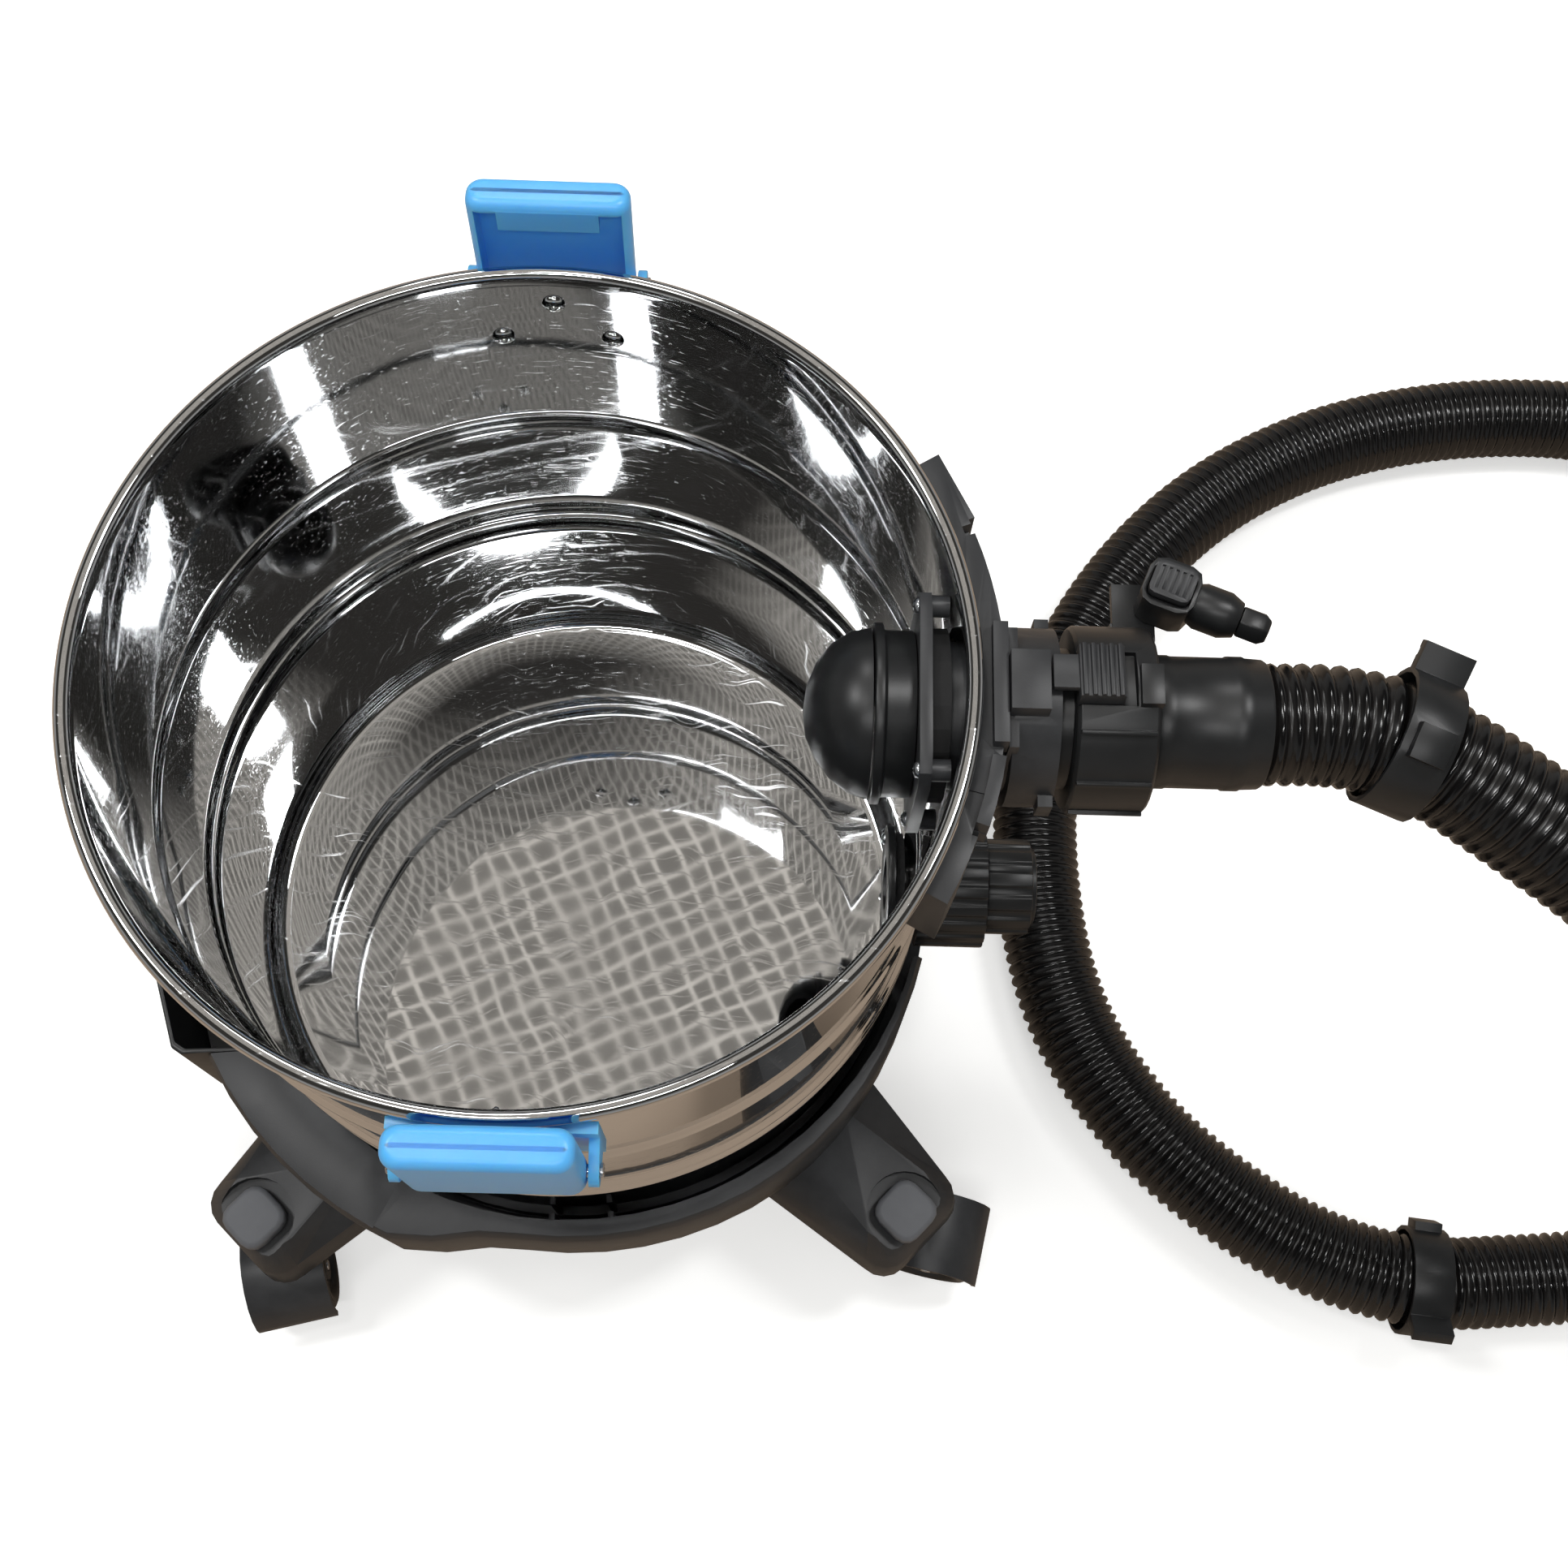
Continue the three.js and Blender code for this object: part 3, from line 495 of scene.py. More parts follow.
FINISHES = {
    # Polished stainless sheet: near mirror, faintly warm, marked by wiping.
    Slot.MIRROR_STEEL: MirrorStainless(),
    # Zinc-plated pins and axles: brighter and bluer than the sheet.
    Slot.ZINC_STEEL: BrightZinc(),
    # Grained dark grey polypropylene of base, hoods and inlet: soft sheen, chalky where it is rubbed.
    Slot.GREY_PLASTIC: MouldedPlastic("grained_grey_polypropylene", "#292a2c", "#434446", 0.4),
    # Black polypropylene of pocket, collar, coupler and wheels: smoother tool, satin.
    Slot.BLACK_PLASTIC: MouldedPlastic(
        "satin_black_polypropylene", "#18191a", "#2a2b2c", 0.34, grain_depth=0.00003, scuff_share=0.35
    ),
    # Mid-grey caps over the castor stems: matt.
    Slot.PAD_PLASTIC: MouldedPlastic("matt_grey_polypropylene", "#606266", "#74767a", 0.55),
    # Light blue polyamide latches: even colour, semi-gloss, hardly any grain.
    Slot.BLUE_PLASTIC: MouldedPlastic(
        "light_blue_polyamide", "#5cb6f7", "#72c2fa", 0.32, ior=1.53, grain_depth=0.00002,
        scuff_share=0.6, glow_through=0.6
    ),
    # Soft nitrile rubber rings: dead matt.
    Slot.SEAL_RUBBER: MouldedPlastic("black_nitrile_rubber", "#0e0e0f", "#1a1a1b", 0.8, ior=1.52),
    # Blown corrugated hose: the glossiest of the blacks.
    Slot.HOSE_PLASTIC: HosePolyethylene(),
}


@dataclass
class Palette:
    """Builds each finish once and hands it out by slot."""

    built: dict[Slot, bpy.types.Material] = field(default_factory=dict)

    def of(self, slot: Slot) -> bpy.types.Material:
        """Return the slot's material, building it the first time.

        Args:
            slot: Material slot.

        Returns:
            The material.
        """
        if slot not in self.built:
            self.built[slot] = FINISHES[slot].build()
        return self.built[slot]


# ---------------------------------------------------------------- mesh helpers


def piece_from(name: str, mesh: bpy.types.Mesh) -> bpy.types.Object:
    """Link a mesh into the scene as an object at the origin.

    Args:
        name: Name of the piece.
        mesh: Its mesh.

    Returns:
        The object.
    """
    piece = bpy.data.objects.new(name, mesh)
    bpy.context.scene.collection.objects.link(piece)
    return piece


def mesh_from(bm: bmesh.types.BMesh, name: str) -> bpy.types.Mesh:
    """Write a bmesh into a new mesh and free it.

    Args:
        bm: Mesh to write; it is freed.
        name: Name of the mesh.

    Returns:
        The mesh.
    """
    mesh = bpy.data.meshes.new(name)
    bm.to_mesh(mesh)
    bm.free()
    return mesh


def set_sharp_edges(bm: bmesh.types.BMesh, angle: float) -> None:
    """Shade the mesh smooth except at edges that turn more than an angle.

    Args:
        bm: Mesh to mark.
        angle: Sharpest turn, in degrees, that still shades smooth.
    """
    limit = math.radians(angle)
    for face in bm.faces:
        face.smooth = True
    for edge in bm.edges:
        edge.smooth = len(edge.link_faces) == 2 and edge.calc_face_angle(0.0) < limit


def baked(piece: bpy.types.Object, sharp: float | None = 38.0) -> bpy.types.Object:
    """Turn a piece's live modifiers into its plain mesh.

    Args:
        piece: Object with modifiers.
        sharp: Angle for set_sharp_edges, or None to leave the shading as it is.

    Returns:
        The same object, without modifiers.
    """
    bpy.context.view_layer.update()
    graph = bpy.context.evaluated_depsgraph_get()
    mesh = bpy.data.meshes.new_from_object(piece.evaluated_get(graph))
    piece.modifiers.clear()
    old = piece.data
    if piece.type == "MESH":
        piece.data = mesh
        bpy.data.meshes.remove(old)
    else:
        name, stale = piece.name, piece
        bpy.data.objects.remove(stale)
        piece = piece_from(name, mesh)
    if sharp is not None:
        bm = bmesh.new()
        bm.from_mesh(piece.data)
        set_sharp_edges(bm, sharp)
        bm.to_mesh(piece.data)
        bm.free()
    return piece


def lathe(
    profile: Sequence[Point], segments: int, place: Matrix | None = None, sharp: float = 38.0
) -> bmesh.types.BMesh:
    """Turn a profile about Z into a closed solid.

    Args:
        profile: Points of radius and height. It starts and ends on the axis, or closes on itself.
        segments: Steps round the axis.
        place: Where the turned solid goes.
        sharp: Angle for set_sharp_edges.

    Returns:
        The solid, with its faces outwards.
    """
    bm = bmesh.new()
    rings = []
    for radius, height in profile:
        if radius < 1e-9:
            rings.append([bm.verts.new((0.0, 0.0, height))])
            continue
        turn = 2 * math.pi / segments
        rings.append([
            bm.verts.new((radius * math.cos(i * turn), radius * math.sin(i * turn), height))
            for i in range(segments)
        ])
    closes = len(rings[0]) > 1
    pairs = list(zip(rings, rings[1:])) + ([(rings[-1], rings[0])] if closes else [])
    for lower, upper in pairs:
        for i in range(segments):
            j = (i + 1) % segments
            corners = [ring[k % len(ring)] for ring, k in ((lower, i), (lower, j), (upper, j), (upper, i))]
            bm.faces.new(list(dict.fromkeys(corners)))
    bmesh.ops.recalc_face_normals(bm, faces=bm.faces)
    set_sharp_edges(bm, sharp)
    if place is not None:
        bm.transform(place)
    return bm


def along_x(x: float, y: float, z: float) -> Matrix:
    """Placement that turns a solid's Z into +X and puts its origin at a point."""
    return Matrix.Translation((x, y, z)) @ Matrix.Rotation(math.pi / 2, 4, "Y")


def rounded_outline(half_x: float, half_y: float, corner: float, steps: int = 6) -> list[Point]:
    """Outline of a rectangle with round corners, anticlockwise.

    Args:
        half_x: Half the size along x.
        half_y: Half the size along y.
        corner: Corner radius.
        steps: Steps in each corner.

    Returns:
        The outline's points.
    """
    outline = []
    for quarter in range(4):
        x = (half_x - corner) * (1 if quarter in (0, 3) else -1)
        y = (half_y - corner) * (1 if quarter < 2 else -1)
        for step in range(steps + 1):
            angle = (quarter + step / steps) * math.pi / 2
            outline.append((x + corner * math.cos(angle), y + corner * math.sin(angle)))
    return outline


def skinned(levels: Iterable[tuple[float, Sequence[Point]]], sharp: float = 38.0) -> bmesh.types.BMesh:
    """Skin a closed solid over outlines of equal point count.

    Args:
        levels: Heights and outlines, lowest first.
        sharp: Angle for set_sharp_edges.

    Returns:
        The solid, with its faces outwards.
    """
    bm = bmesh.new()
    rings = [[bm.verts.new((x, y, z)) for x, y in outline] for z, outline in levels]
    count = len(rings[0])
    for lower, upper in zip(rings, rings[1:]):
        for i in range(count):
            j = (i + 1) % count
            bm.faces.new((lower[i], lower[j], upper[j], upper[i]))
    bm.faces.new(rings[0][::-1])
    bm.faces.new(rings[-1])
    bmesh.ops.recalc_face_normals(bm, faces=bm.faces)
    set_sharp_edges(bm, sharp)
    return bm


def block(low: Sequence[float], high: Sequence[float]) -> bmesh.types.BMesh:
    """Box between two corners, used to cut other pieces.

    Args:
        low: Its lowest corner.
        high: Its highest corner.

    Returns:
        The box.
    """
    bm = bmesh.new()
    bmesh.ops.create_cube(bm, size=1.0)
    size = [b - a for a, b in zip(low, high)]
    middle = [(a + b) / 2 for a, b in zip(low, high)]
    bm.transform(Matrix.Translation(middle) @ Matrix.Diagonal((*size, 1.0)))
    return bm


def combined(
    body: bmesh.types.BMesh, tools: Iterable[tuple[str, bmesh.types.BMesh]], name: str
) -> bpy.types.Object:
    """Cut and join a body with tools.

    Args:
        body: Solid to start from.
        tools: Pairs of "DIFFERENCE" or "UNION" and a solid.
        name: Name of the result.

    Returns:
        The resulting object, with no modifiers left.
    """
    piece = piece_from(name, mesh_from(body, name))
    helpers = []
    for number, (operation, tool) in enumerate(tools):
        helper = piece_from(f"{name}_tool_{number}", mesh_from(tool, f"{name}_tool_{number}"))
        modifier = piece.modifiers.new(f"cut_{number}", "BOOLEAN")
        modifier.operation = operation
        modifier.solver = "EXACT"
        modifier.object = helper
        helpers.append(helper)
    piece = baked(piece)
    for helper in helpers:
        bpy.data.objects.remove(helper)
    return piece


def merged_copy(node: bpy.types.Object, most_corners: int = 80) -> bmesh.types.BMesh:
    """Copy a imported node's loose triangles into one connected mesh with its flat faces made whole.

    Args:
        node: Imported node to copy.
        most_corners: A flat face with more corners than this, such as a ring, is split into convex ones,
            because it wouldn't fill properly once its edges are rounded.

    Returns:
        The copy, without UV layers.
    """
    bm = bmesh.new()
    bm.from_mesh(node.data)
    bmesh.ops.remove_doubles(bm, verts=bm.verts, dist=2e-6)
    bmesh.ops.dissolve_limit(
        bm, angle_limit=math.radians(0.6), use_dissolve_boundaries=False, verts=bm.verts, edges=bm.edges
    )
    many_cornered = [face for face in bm.faces if len(face.verts) > most_corners]
    bmesh.ops.connect_verts_concave(bm, faces=many_cornered)
    for layer in list(bm.loops.layers.uv.values()):
        bm.loops.layers.uv.remove(layer)
    return bm


def bevelled(
    piece: bpy.types.Object, width: float, segments: int = 2, angle: float = 34.0
) -> bpy.types.Object:
    """Round a piece's edges as a mould's fillets do.

    Args:
        piece: Object to round.
        width: Fillet width in metres.
        segments: Faces across a fillet.
        angle: Edges that turn less than this stay as they are.

    Returns:
        The object with its mesh rounded.
    """
    modifier = piece.modifiers.new("fillets", "BEVEL")
    modifier.width = width
    modifier.segments = segments
    modifier.limit_method = "ANGLE"
    modifier.angle_limit = math.radians(angle)
    modifier.use_clamp_overlap = True
    modifier.miter_outer = "MITER_ARC"
    return baked(piece)


@dataclass
class Workshop:
    """What every sub-assembly needs: the frame, the palette and the tank's axis."""

    frame: dict[str, object]
    palette: Palette
    axis: Vector

    @classmethod
    def around(cls, frame: dict[str, object]) -> Workshop:
        """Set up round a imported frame; the tank's box gives its axis.


        Returns:
            The workshop.
        """
        low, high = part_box("tank_shell")
        middle = (low + high) / 2
        return cls(frame, Palette(), Vector((middle.x, middle.y, 0.0)))

    def node(self, name: str) -> bpy.types.Object:
        """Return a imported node's object."""
        return self.frame["nodes"][name]

    def from_axis(self, x: float, y: float, z: float) -> Vector:
        """Turn a place in millimetres from the tank's axis into the frame's metres."""
        return self.axis + Vector((x, y, z)) * MM

    def hand_over(
        self, piece: bpy.types.Object, slot: Slot, body: str, stands_for: Iterable[str] = ()
    ) -> bpy.types.Object:
        """Dress a piece, name its body and hide the nodes that it stands for.

        Args:
            piece: Finished object.
            slot: Material slot whose finish it wears.
            body: Body that it moves with.
            stands_for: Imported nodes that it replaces.

        Returns:
            The same object.
        """
        piece.data.materials.clear()
        piece.data.materials.append(self.palette.of(slot))
        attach(piece, body)
        names = list(stands_for)
        if names:
            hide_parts(*names)
        LOG.info("%s: %d faces on %s", piece.name, len(piece.data.polygons), body)
        return piece

    def moulding(
        self, node: str, slot: Slot, body: str, fillet_mm: float, segments: int = 2
    ) -> bpy.types.Object:
        """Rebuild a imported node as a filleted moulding.

        Args:
            node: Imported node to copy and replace.
            slot: Material slot.
            body: Body that it moves with.
            fillet_mm: Fillet width in millimetres.
            segments: Faces across a fillet.

        Returns:
            The new piece.
        """
        piece = piece_from(f"{node}_moulding", mesh_from(merged_copy(self.node(node)), f"{node}_moulding"))
        return self.hand_over(bevelled(piece, fillet_mm * MM, segments), slot, body, [node])

    def turned_part(
        self, name: str, bm: bmesh.types.BMesh, slot: Slot, body: str, stands_for: Iterable[str]
    ) -> bpy.types.Object:
        """Hand over a solid made by lathe()."""
        return self.hand_over(piece_from(name, mesh_from(bm, name)), slot, body, stands_for)

    def dress_node(self, name: str, slot: Slot) -> None:
        """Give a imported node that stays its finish.

        Args:
            name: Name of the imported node.
            slot: Material slot.
        """
        materials = self.node(name).data.materials
        materials.clear()
        materials.append(self.palette.of(slot))


# ---------------------------------------------------------------- geometry-node sets


def socket_id(tree: bpy.types.NodeTree, name: str) -> str:
    """Find the identifier of a tree's named input.

    Args:
        tree: Tree that has the input.
        name: Name of the input.

    Returns:
        The input's identifier.
    """
    return next(
        item.identifier for item in tree.interface.items_tree
        if item.item_type == "SOCKET" and item.in_out == "INPUT" and item.name == name
    )


def new_geometry_tree(name: str, inputs: dict[str, tuple[str, object]]) -> tuple[
    bpy.types.NodeTree, bpy.types.Node, bpy.types.Node
]:
    """Start a geometry-node tree.

    Args:
        name: Name of the tree.
        inputs: Input names with their socket type and default.

    Returns:
        The tree, its group input and its group output.
    """
    tree = bpy.data.node_groups.new(name, "GeometryNodeTree")
    tree.interface.new_socket("Geometry", in_out="INPUT", socket_type="NodeSocketGeometry")
    for label, (kind, default) in inputs.items():
        item = tree.interface.new_socket(label, in_out="INPUT", socket_type=kind)
        if default is not None:
            item.default_value = default
    tree.interface.new_socket("Geometry", in_out="OUTPUT", socket_type="NodeSocketGeometry")
    return tree, add_node(tree, "NodeGroupInput"), add_node(tree, "NodeGroupOutput")


def finish_tree(
    tree: bpy.types.NodeTree,
    outlet: bpy.types.Node,
    geometry: bpy.types.NodeSocket,
    material: bpy.types.NodeSocket,
) -> None:
    """End a tree in Realize Instances and Set Material.

    Args:
        tree: Tree to end.
        outlet: Its group output.
        geometry: What the tree makes.
        material: Material to set on it.
    """
    real = add_node(tree, "GeometryNodeRealizeInstances", links={"Geometry": geometry})
    dressed = add_node(
        tree, "GeometryNodeSetMaterial", links={"Geometry": real.outputs[0], "Material": material}
    )
    tree.links.new(dressed.outputs[0], outlet.inputs[0])


def set_on_points(
    tree: bpy.types.NodeTree, given: bpy.types.Node, outlet: bpy.types.Node, head: bpy.types.NodeSocket
) -> None:
    """End a fastener tree: one head on each point, turned along the point's "facing" attribute.

    Args:
        tree: Tree to end.
        given: Its group input, which has the points and the material.
        outlet: Its group output.
        head: The fastener's head.
    """
    normal = add_node(
        tree, "GeometryNodeInputNamedAttribute", {"data_type": "FLOAT_VECTOR", "Name": "facing"}
    )
    facing = add_node(
        tree, "FunctionNodeAlignRotationToVector", {"axis": "Z"}, {"Vector": normal.outputs[0]}
    )
    placed = add_node(
        tree, "GeometryNodeInstanceOnPoints",
        links={"Points": given.outputs["Geometry"], "Instance": head, "Rotation": facing.outputs[0]},
    )
    finish_tree(tree, outlet, placed.outputs[0], given.outputs["Material"])


def flattened_ball(
    tree: bpy.types.NodeTree,
    radius: bpy.types.NodeSocket,
    height: bpy.types.NodeSocket,
    segments: int,
    rings: int,
) -> bpy.types.Node:
    """Add a ball squashed to a height.

    Args:
        tree: Tree that gets it.
        radius: Its radius.
        height: Half its height.
        segments: Its faces round.
        rings: Its faces from pole to pole.

    Returns:
        The node whose first output is the ball.
    """
    ball = add_node(
        tree, "GeometryNodeMeshUVSphere", {"Segments": segments, "Rings": rings}, {"Radius": radius}
    )
    squat = add_node(tree, "ShaderNodeMath", {"operation": "DIVIDE"}, {0: height, 1: radius})
    scale = add_node(tree, "ShaderNodeCombineXYZ", {"X": 1.0, "Y": 1.0}, {"Z": squat.outputs[0]})
    return add_node(
        tree, "GeometryNodeTransform", links={"Geometry": ball.outputs[0], "Scale": scale.outputs[0]}
    )


@dataclass
class ScrewSet:
    """Pan-head cross-recess screws, one on each point of a cloud, facing along its normal."""

    head_radius: float = 3.4 * MM
    head_height: float = 2.2 * MM
    slot_width: float = 1.1 * MM

    def tree(self) -> bpy.types.NodeTree:
        """Build the tree: one head, cut with a cross, instanced on the points.

        Returns:
            The tree.
        """
        tree, given, outlet = new_geometry_tree("screw_set", {
            "Head Radius": ("NodeSocketFloat", self.head_radius),
            "Head Height": ("NodeSocketFloat", self.head_height),
            "Slot Width": ("NodeSocketFloat", self.slot_width),
            "Material": ("NodeSocketMaterial", None),
        })
        head = flattened_ball(tree, given.outputs["Head Radius"], given.outputs["Head Height"], 24, 12)
        span = add_node(
            tree, "ShaderNodeMath", {"operation": "MULTIPLY", 1: 1.2}, {0: given.outputs["Head Radius"]}
        )
        lift = add_node(tree, "ShaderNodeCombineXYZ", links={"Z": given.outputs["Head Height"]})
        slots = []
        for order in (("X", "Y"), ("Y", "X")):
            size = add_node(
                tree, "ShaderNodeCombineXYZ",
                links={order[0]: span.outputs[0], order[1]: given.outputs["Slot Width"],
                       "Z": given.outputs["Head Height"]},
            )
            bar = add_node(tree, "GeometryNodeMeshCube", links={"Size": size.outputs[0]})
            slots.append(add_node(
                tree, "GeometryNodeTransform",
                links={"Geometry": bar.outputs[0], "Translation": lift.outputs[0]},
            ))
        cut = add_node(tree, "GeometryNodeMeshBoolean", {"operation": "DIFFERENCE"})
        tree.links.new(head.outputs[0], cut.inputs["Mesh 1"])
        for bar in slots:
            tree.links.new(bar.outputs[0], cut.inputs["Mesh 2"])
        set_on_points(tree, given, outlet, cut.outputs[0])
        return tree


@dataclass
class RivetSet:
    """Domed rivet heads, one on each point, facing along its normal."""

    head_radius: float = 5.0 * MM
    head_height: float = 2.6 * MM

    def tree(self) -> bpy.types.NodeTree:
        """Build the tree: a half-sunk dome with a small centre button, instanced on the points.

        Returns:
            The tree.
        """
        tree, given, outlet = new_geometry_tree("rivet_set", {
            "Head Radius": ("NodeSocketFloat", self.head_radius),
            "Head Height": ("NodeSocketFloat", self.head_height),
            "Material": ("NodeSocketMaterial", None),
        })
        parts = []
        for share, rise in ((1.0, 1.0), (0.42, 1.45)):
            radius, height = (
                add_node(
                    tree, "ShaderNodeMath", {"operation": "MULTIPLY", 1: factor}, {0: given.outputs[size]}
                )
                for size, factor in (("Head Radius", share), ("Head Height", rise))
            )
            parts.append(flattened_ball(tree, radius.outputs[0], height.outputs[0], 28, 16))
        head = add_node(tree, "GeometryNodeMeshBoolean", {"operation": "UNION"})
        for part in parts:
            tree.links.new(part.outputs[0], head.inputs["Mesh 2"])
        smooth = add_node(tree, "GeometryNodeSetShadeSmooth", links={"Geometry": head.outputs[0]})
        set_on_points(tree, given, outlet, smooth.outputs[0])
        return tree


def fasteners(
    shop: Workshop,
    name: str,
    kind: ScrewSet | RivetSet,
    spots: Sequence[tuple[Vector, Vector]],
    slot: Slot,
    body: str,
    stands_for: Iterable[str] = (),
) -> bpy.types.Object:
    """Set fasteners on a list of spots.

    Args:
        shop: Frame and palette.
        name: Name of the piece.
        kind: Kind of fastener.
        spots: Places with the directions that the heads face.
        slot: Material slot.
        body: Body that they move with.
        stands_for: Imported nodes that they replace.

    Returns:
        One piece with every fastener in it.
    """
    mesh = bpy.data.meshes.new(name)
    mesh.from_pydata([tuple(place) for place, _ in spots], [], [])
    facing = mesh.attributes.new("facing", "FLOAT_VECTOR", "POINT")
    for number, (_, direction) in enumerate(spots):
        facing.data[number].vector = direction
    piece = piece_from(name, mesh)
    tree = kind.tree()
    modifier = piece.modifiers.new("set", "NODES")
    modifier.node_group = tree
    modifier[socket_id(tree, "Material")] = shop.palette.of(slot)
    return shop.hand_over(baked(piece), slot, body, stands_for)


# ---------------------------------------------------------------- studio


@dataclass
class Studio:
    """Floor, lights, ceiling and camera."""

    camera_place: tuple[float, float, float] = (93.83, -287.41, 1142.9)  # mm from the tank's axis
    yaw: float = 0.0384  # radians, from +Y towards +X
    pitch: float = 1.2374  # radians, down from the horizon
    roll: float = 0.0647
    lens_mm: float = 44.23
    sensor_mm: float = 36.0
    ceiling_height: float = 2.7
    lattice_middle: tuple[float, float] = (-0.25, 0.72)
    fill: float = 0.4  # light from all round
    floor_half: float = 14.0
    floor_height: float = -0.0006  # just under the wheels
    ceiling_half: float = 4.5
    # Lights: name, place in metres, the two sides and the brightness.
    softboxes: tuple[tuple[str, tuple[float, float, float], tuple[float, float], float], ...] = (
        ("window_right", (1.15, 0.45, 2.45), (0.32, 0.55), 30.0),
        ("window_left", (-1.3, 0.25, 2.45), (0.32, 0.55), 30.0),
        ("panel_back", (-0.3, 1.85, 2.6), (0.7, 0.4), 14.0),
        ("panel_over", (-0.42, -0.12, 2.62), (0.3, 0.3), 14.0),
        ("tube_front", (0.1, -1.15, 2.6), (1.4, 0.05), 55.0),
    )

    def set_camera(self, shop: Workshop) -> None:
        """Stand the camera over the tank's front edge, looking steeply down.

        Args:
            shop: Frame, palette and axis.
        """
        sin_yaw, cos_yaw = math.sin(self.yaw), math.cos(self.yaw)
        level = math.cos(self.pitch)
        forward = Vector((sin_yaw * level, cos_yaw * level, -math.sin(self.pitch)))
        right = Vector((cos_yaw, -sin_yaw, 0.0))
        up = right.cross(forward)
        sin_roll, cos_roll = math.sin(self.roll), math.cos(self.roll)
        camera_x = cos_roll * right + sin_roll * up
        camera_y = -sin_roll * right + cos_roll * up
        data = bpy.data.cameras.new("studio_camera")
        data.lens = self.lens_mm
        data.sensor_width = self.sensor_mm
        camera = bpy.data.objects.new("studio_camera", data)
        bpy.context.scene.collection.objects.link(camera)
        turn = Matrix((camera_x, camera_y, -forward)).transposed().to_4x4()
        camera.matrix_world = Matrix.Translation(shop.from_axis(*self.camera_place)) @ turn
        bpy.context.scene.camera = camera

    def surroundings(self) -> bpy.types.World:
        """Build the world: white behind the object, even fill light, and a dimmer room in reflections.

        Returns:
            The world.
        """
        world = bpy.data.worlds.new("studio_room")
        world.use_nodes = True
        tree = world.node_tree
        background = tree.nodes["Background"]
        rays = add_node(tree, "ShaderNodeLightPath")
        way = add_node(tree, "ShaderNodeNewGeometry")
        height = add_node(tree, "ShaderNodeSeparateXYZ", links={"Vector": way.outputs["Incoming"]})
        wall = add_node(
            tree, "ShaderNodeMapRange", {"From Min": -0.7, "From Max": 0.0, "To Min": 0.1, "To Max": 0.42},
            {"Value": height.outputs["Z"]},
        )
        fill = add_node(
            tree, "ShaderNodeMix", {"data_type": "FLOAT", 2: self.fill},
            {0: rays.outputs["Is Glossy Ray"], 3: wall.outputs[0]},
        )
        strength = add_node(
            tree, "ShaderNodeMix", {"data_type": "FLOAT", 3: 1.0},
            {0: rays.outputs["Is Camera Ray"], 2: fill.outputs[0]},
        )
        background.inputs["Color"].default_value = srgb("#fffdfa")
        tree.links.new(strength.outputs[0], background.inputs["Strength"])
        return world

    def softbox(
        self, name: str, place: Sequence[float], size: tuple[float, float], radiance: float, aim: Vector
    ) -> None:
        """Hang a rectangular light.

        Args:
            name: Name of the light.
            place: Its middle, in metres.
            size: Its two sides, in metres.
            radiance: Brightness of its face.
            aim: Point that it faces.
        """
        data = bpy.data.lights.new(name, "AREA")
        data.shape = "RECTANGLE"
        data.size, data.size_y = size
        data.energy = radiance * math.pi * size[0] * size[1]
        light = bpy.data.objects.new(name, data)
        bpy.context.scene.collection.objects.link(light)
        light.location = place
        light.rotation_euler = (aim - Vector(place)).to_track_quat("-Z", "Y").to_euler()

    def plane(self, name: str, half: float, height: float, middle: Point = (0.0, 0.0)) -> bpy.types.Object:
        """Lay a square stage plane whose own origin is its middle.

        Args:
            name: Name of the piece.
            half: Half the length of a side, in metres.
            height: Its height, in metres.
            middle: Its middle.

        Returns:
            The plane.
        """
        bm = bmesh.new()
        bmesh.ops.create_grid(bm, x_segments=1, y_segments=1, size=half)
        piece = piece_from(name, mesh_from(bm, name))
        piece.location = (middle[0], middle[1], height)
        return piece

    def build(self, shop: Workshop) -> None:
        """Build floor, ceiling, world and lights.

        Args:
            shop: Frame, palette and axis.
        """
        scene = bpy.context.scene
        scene.view_settings.view_transform = "Standard"
        floor = self.plane("studio_floor", self.floor_half, self.floor_height)
        floor.data.materials.append(StudioFloor().build())
        ceiling = self.plane("studio_ceiling", self.ceiling_half, self.ceiling_height, self.lattice_middle)
        ceiling.data.materials.append(LatticeCeiling().build())
        ceiling.visible_camera = False
        ceiling.visible_diffuse = False
        ceiling.visible_shadow = False
        scene.world = self.surroundings()
        middle = shop.axis + Vector((0.0, 0.0, 0.3))
        for name, place, size, radiance in self.softboxes:
            self.softbox(name, place, size, radiance, middle)
        LOG.info("studio: floor, ceiling and lights")


# ---------------------------------------------------------------- suction hose


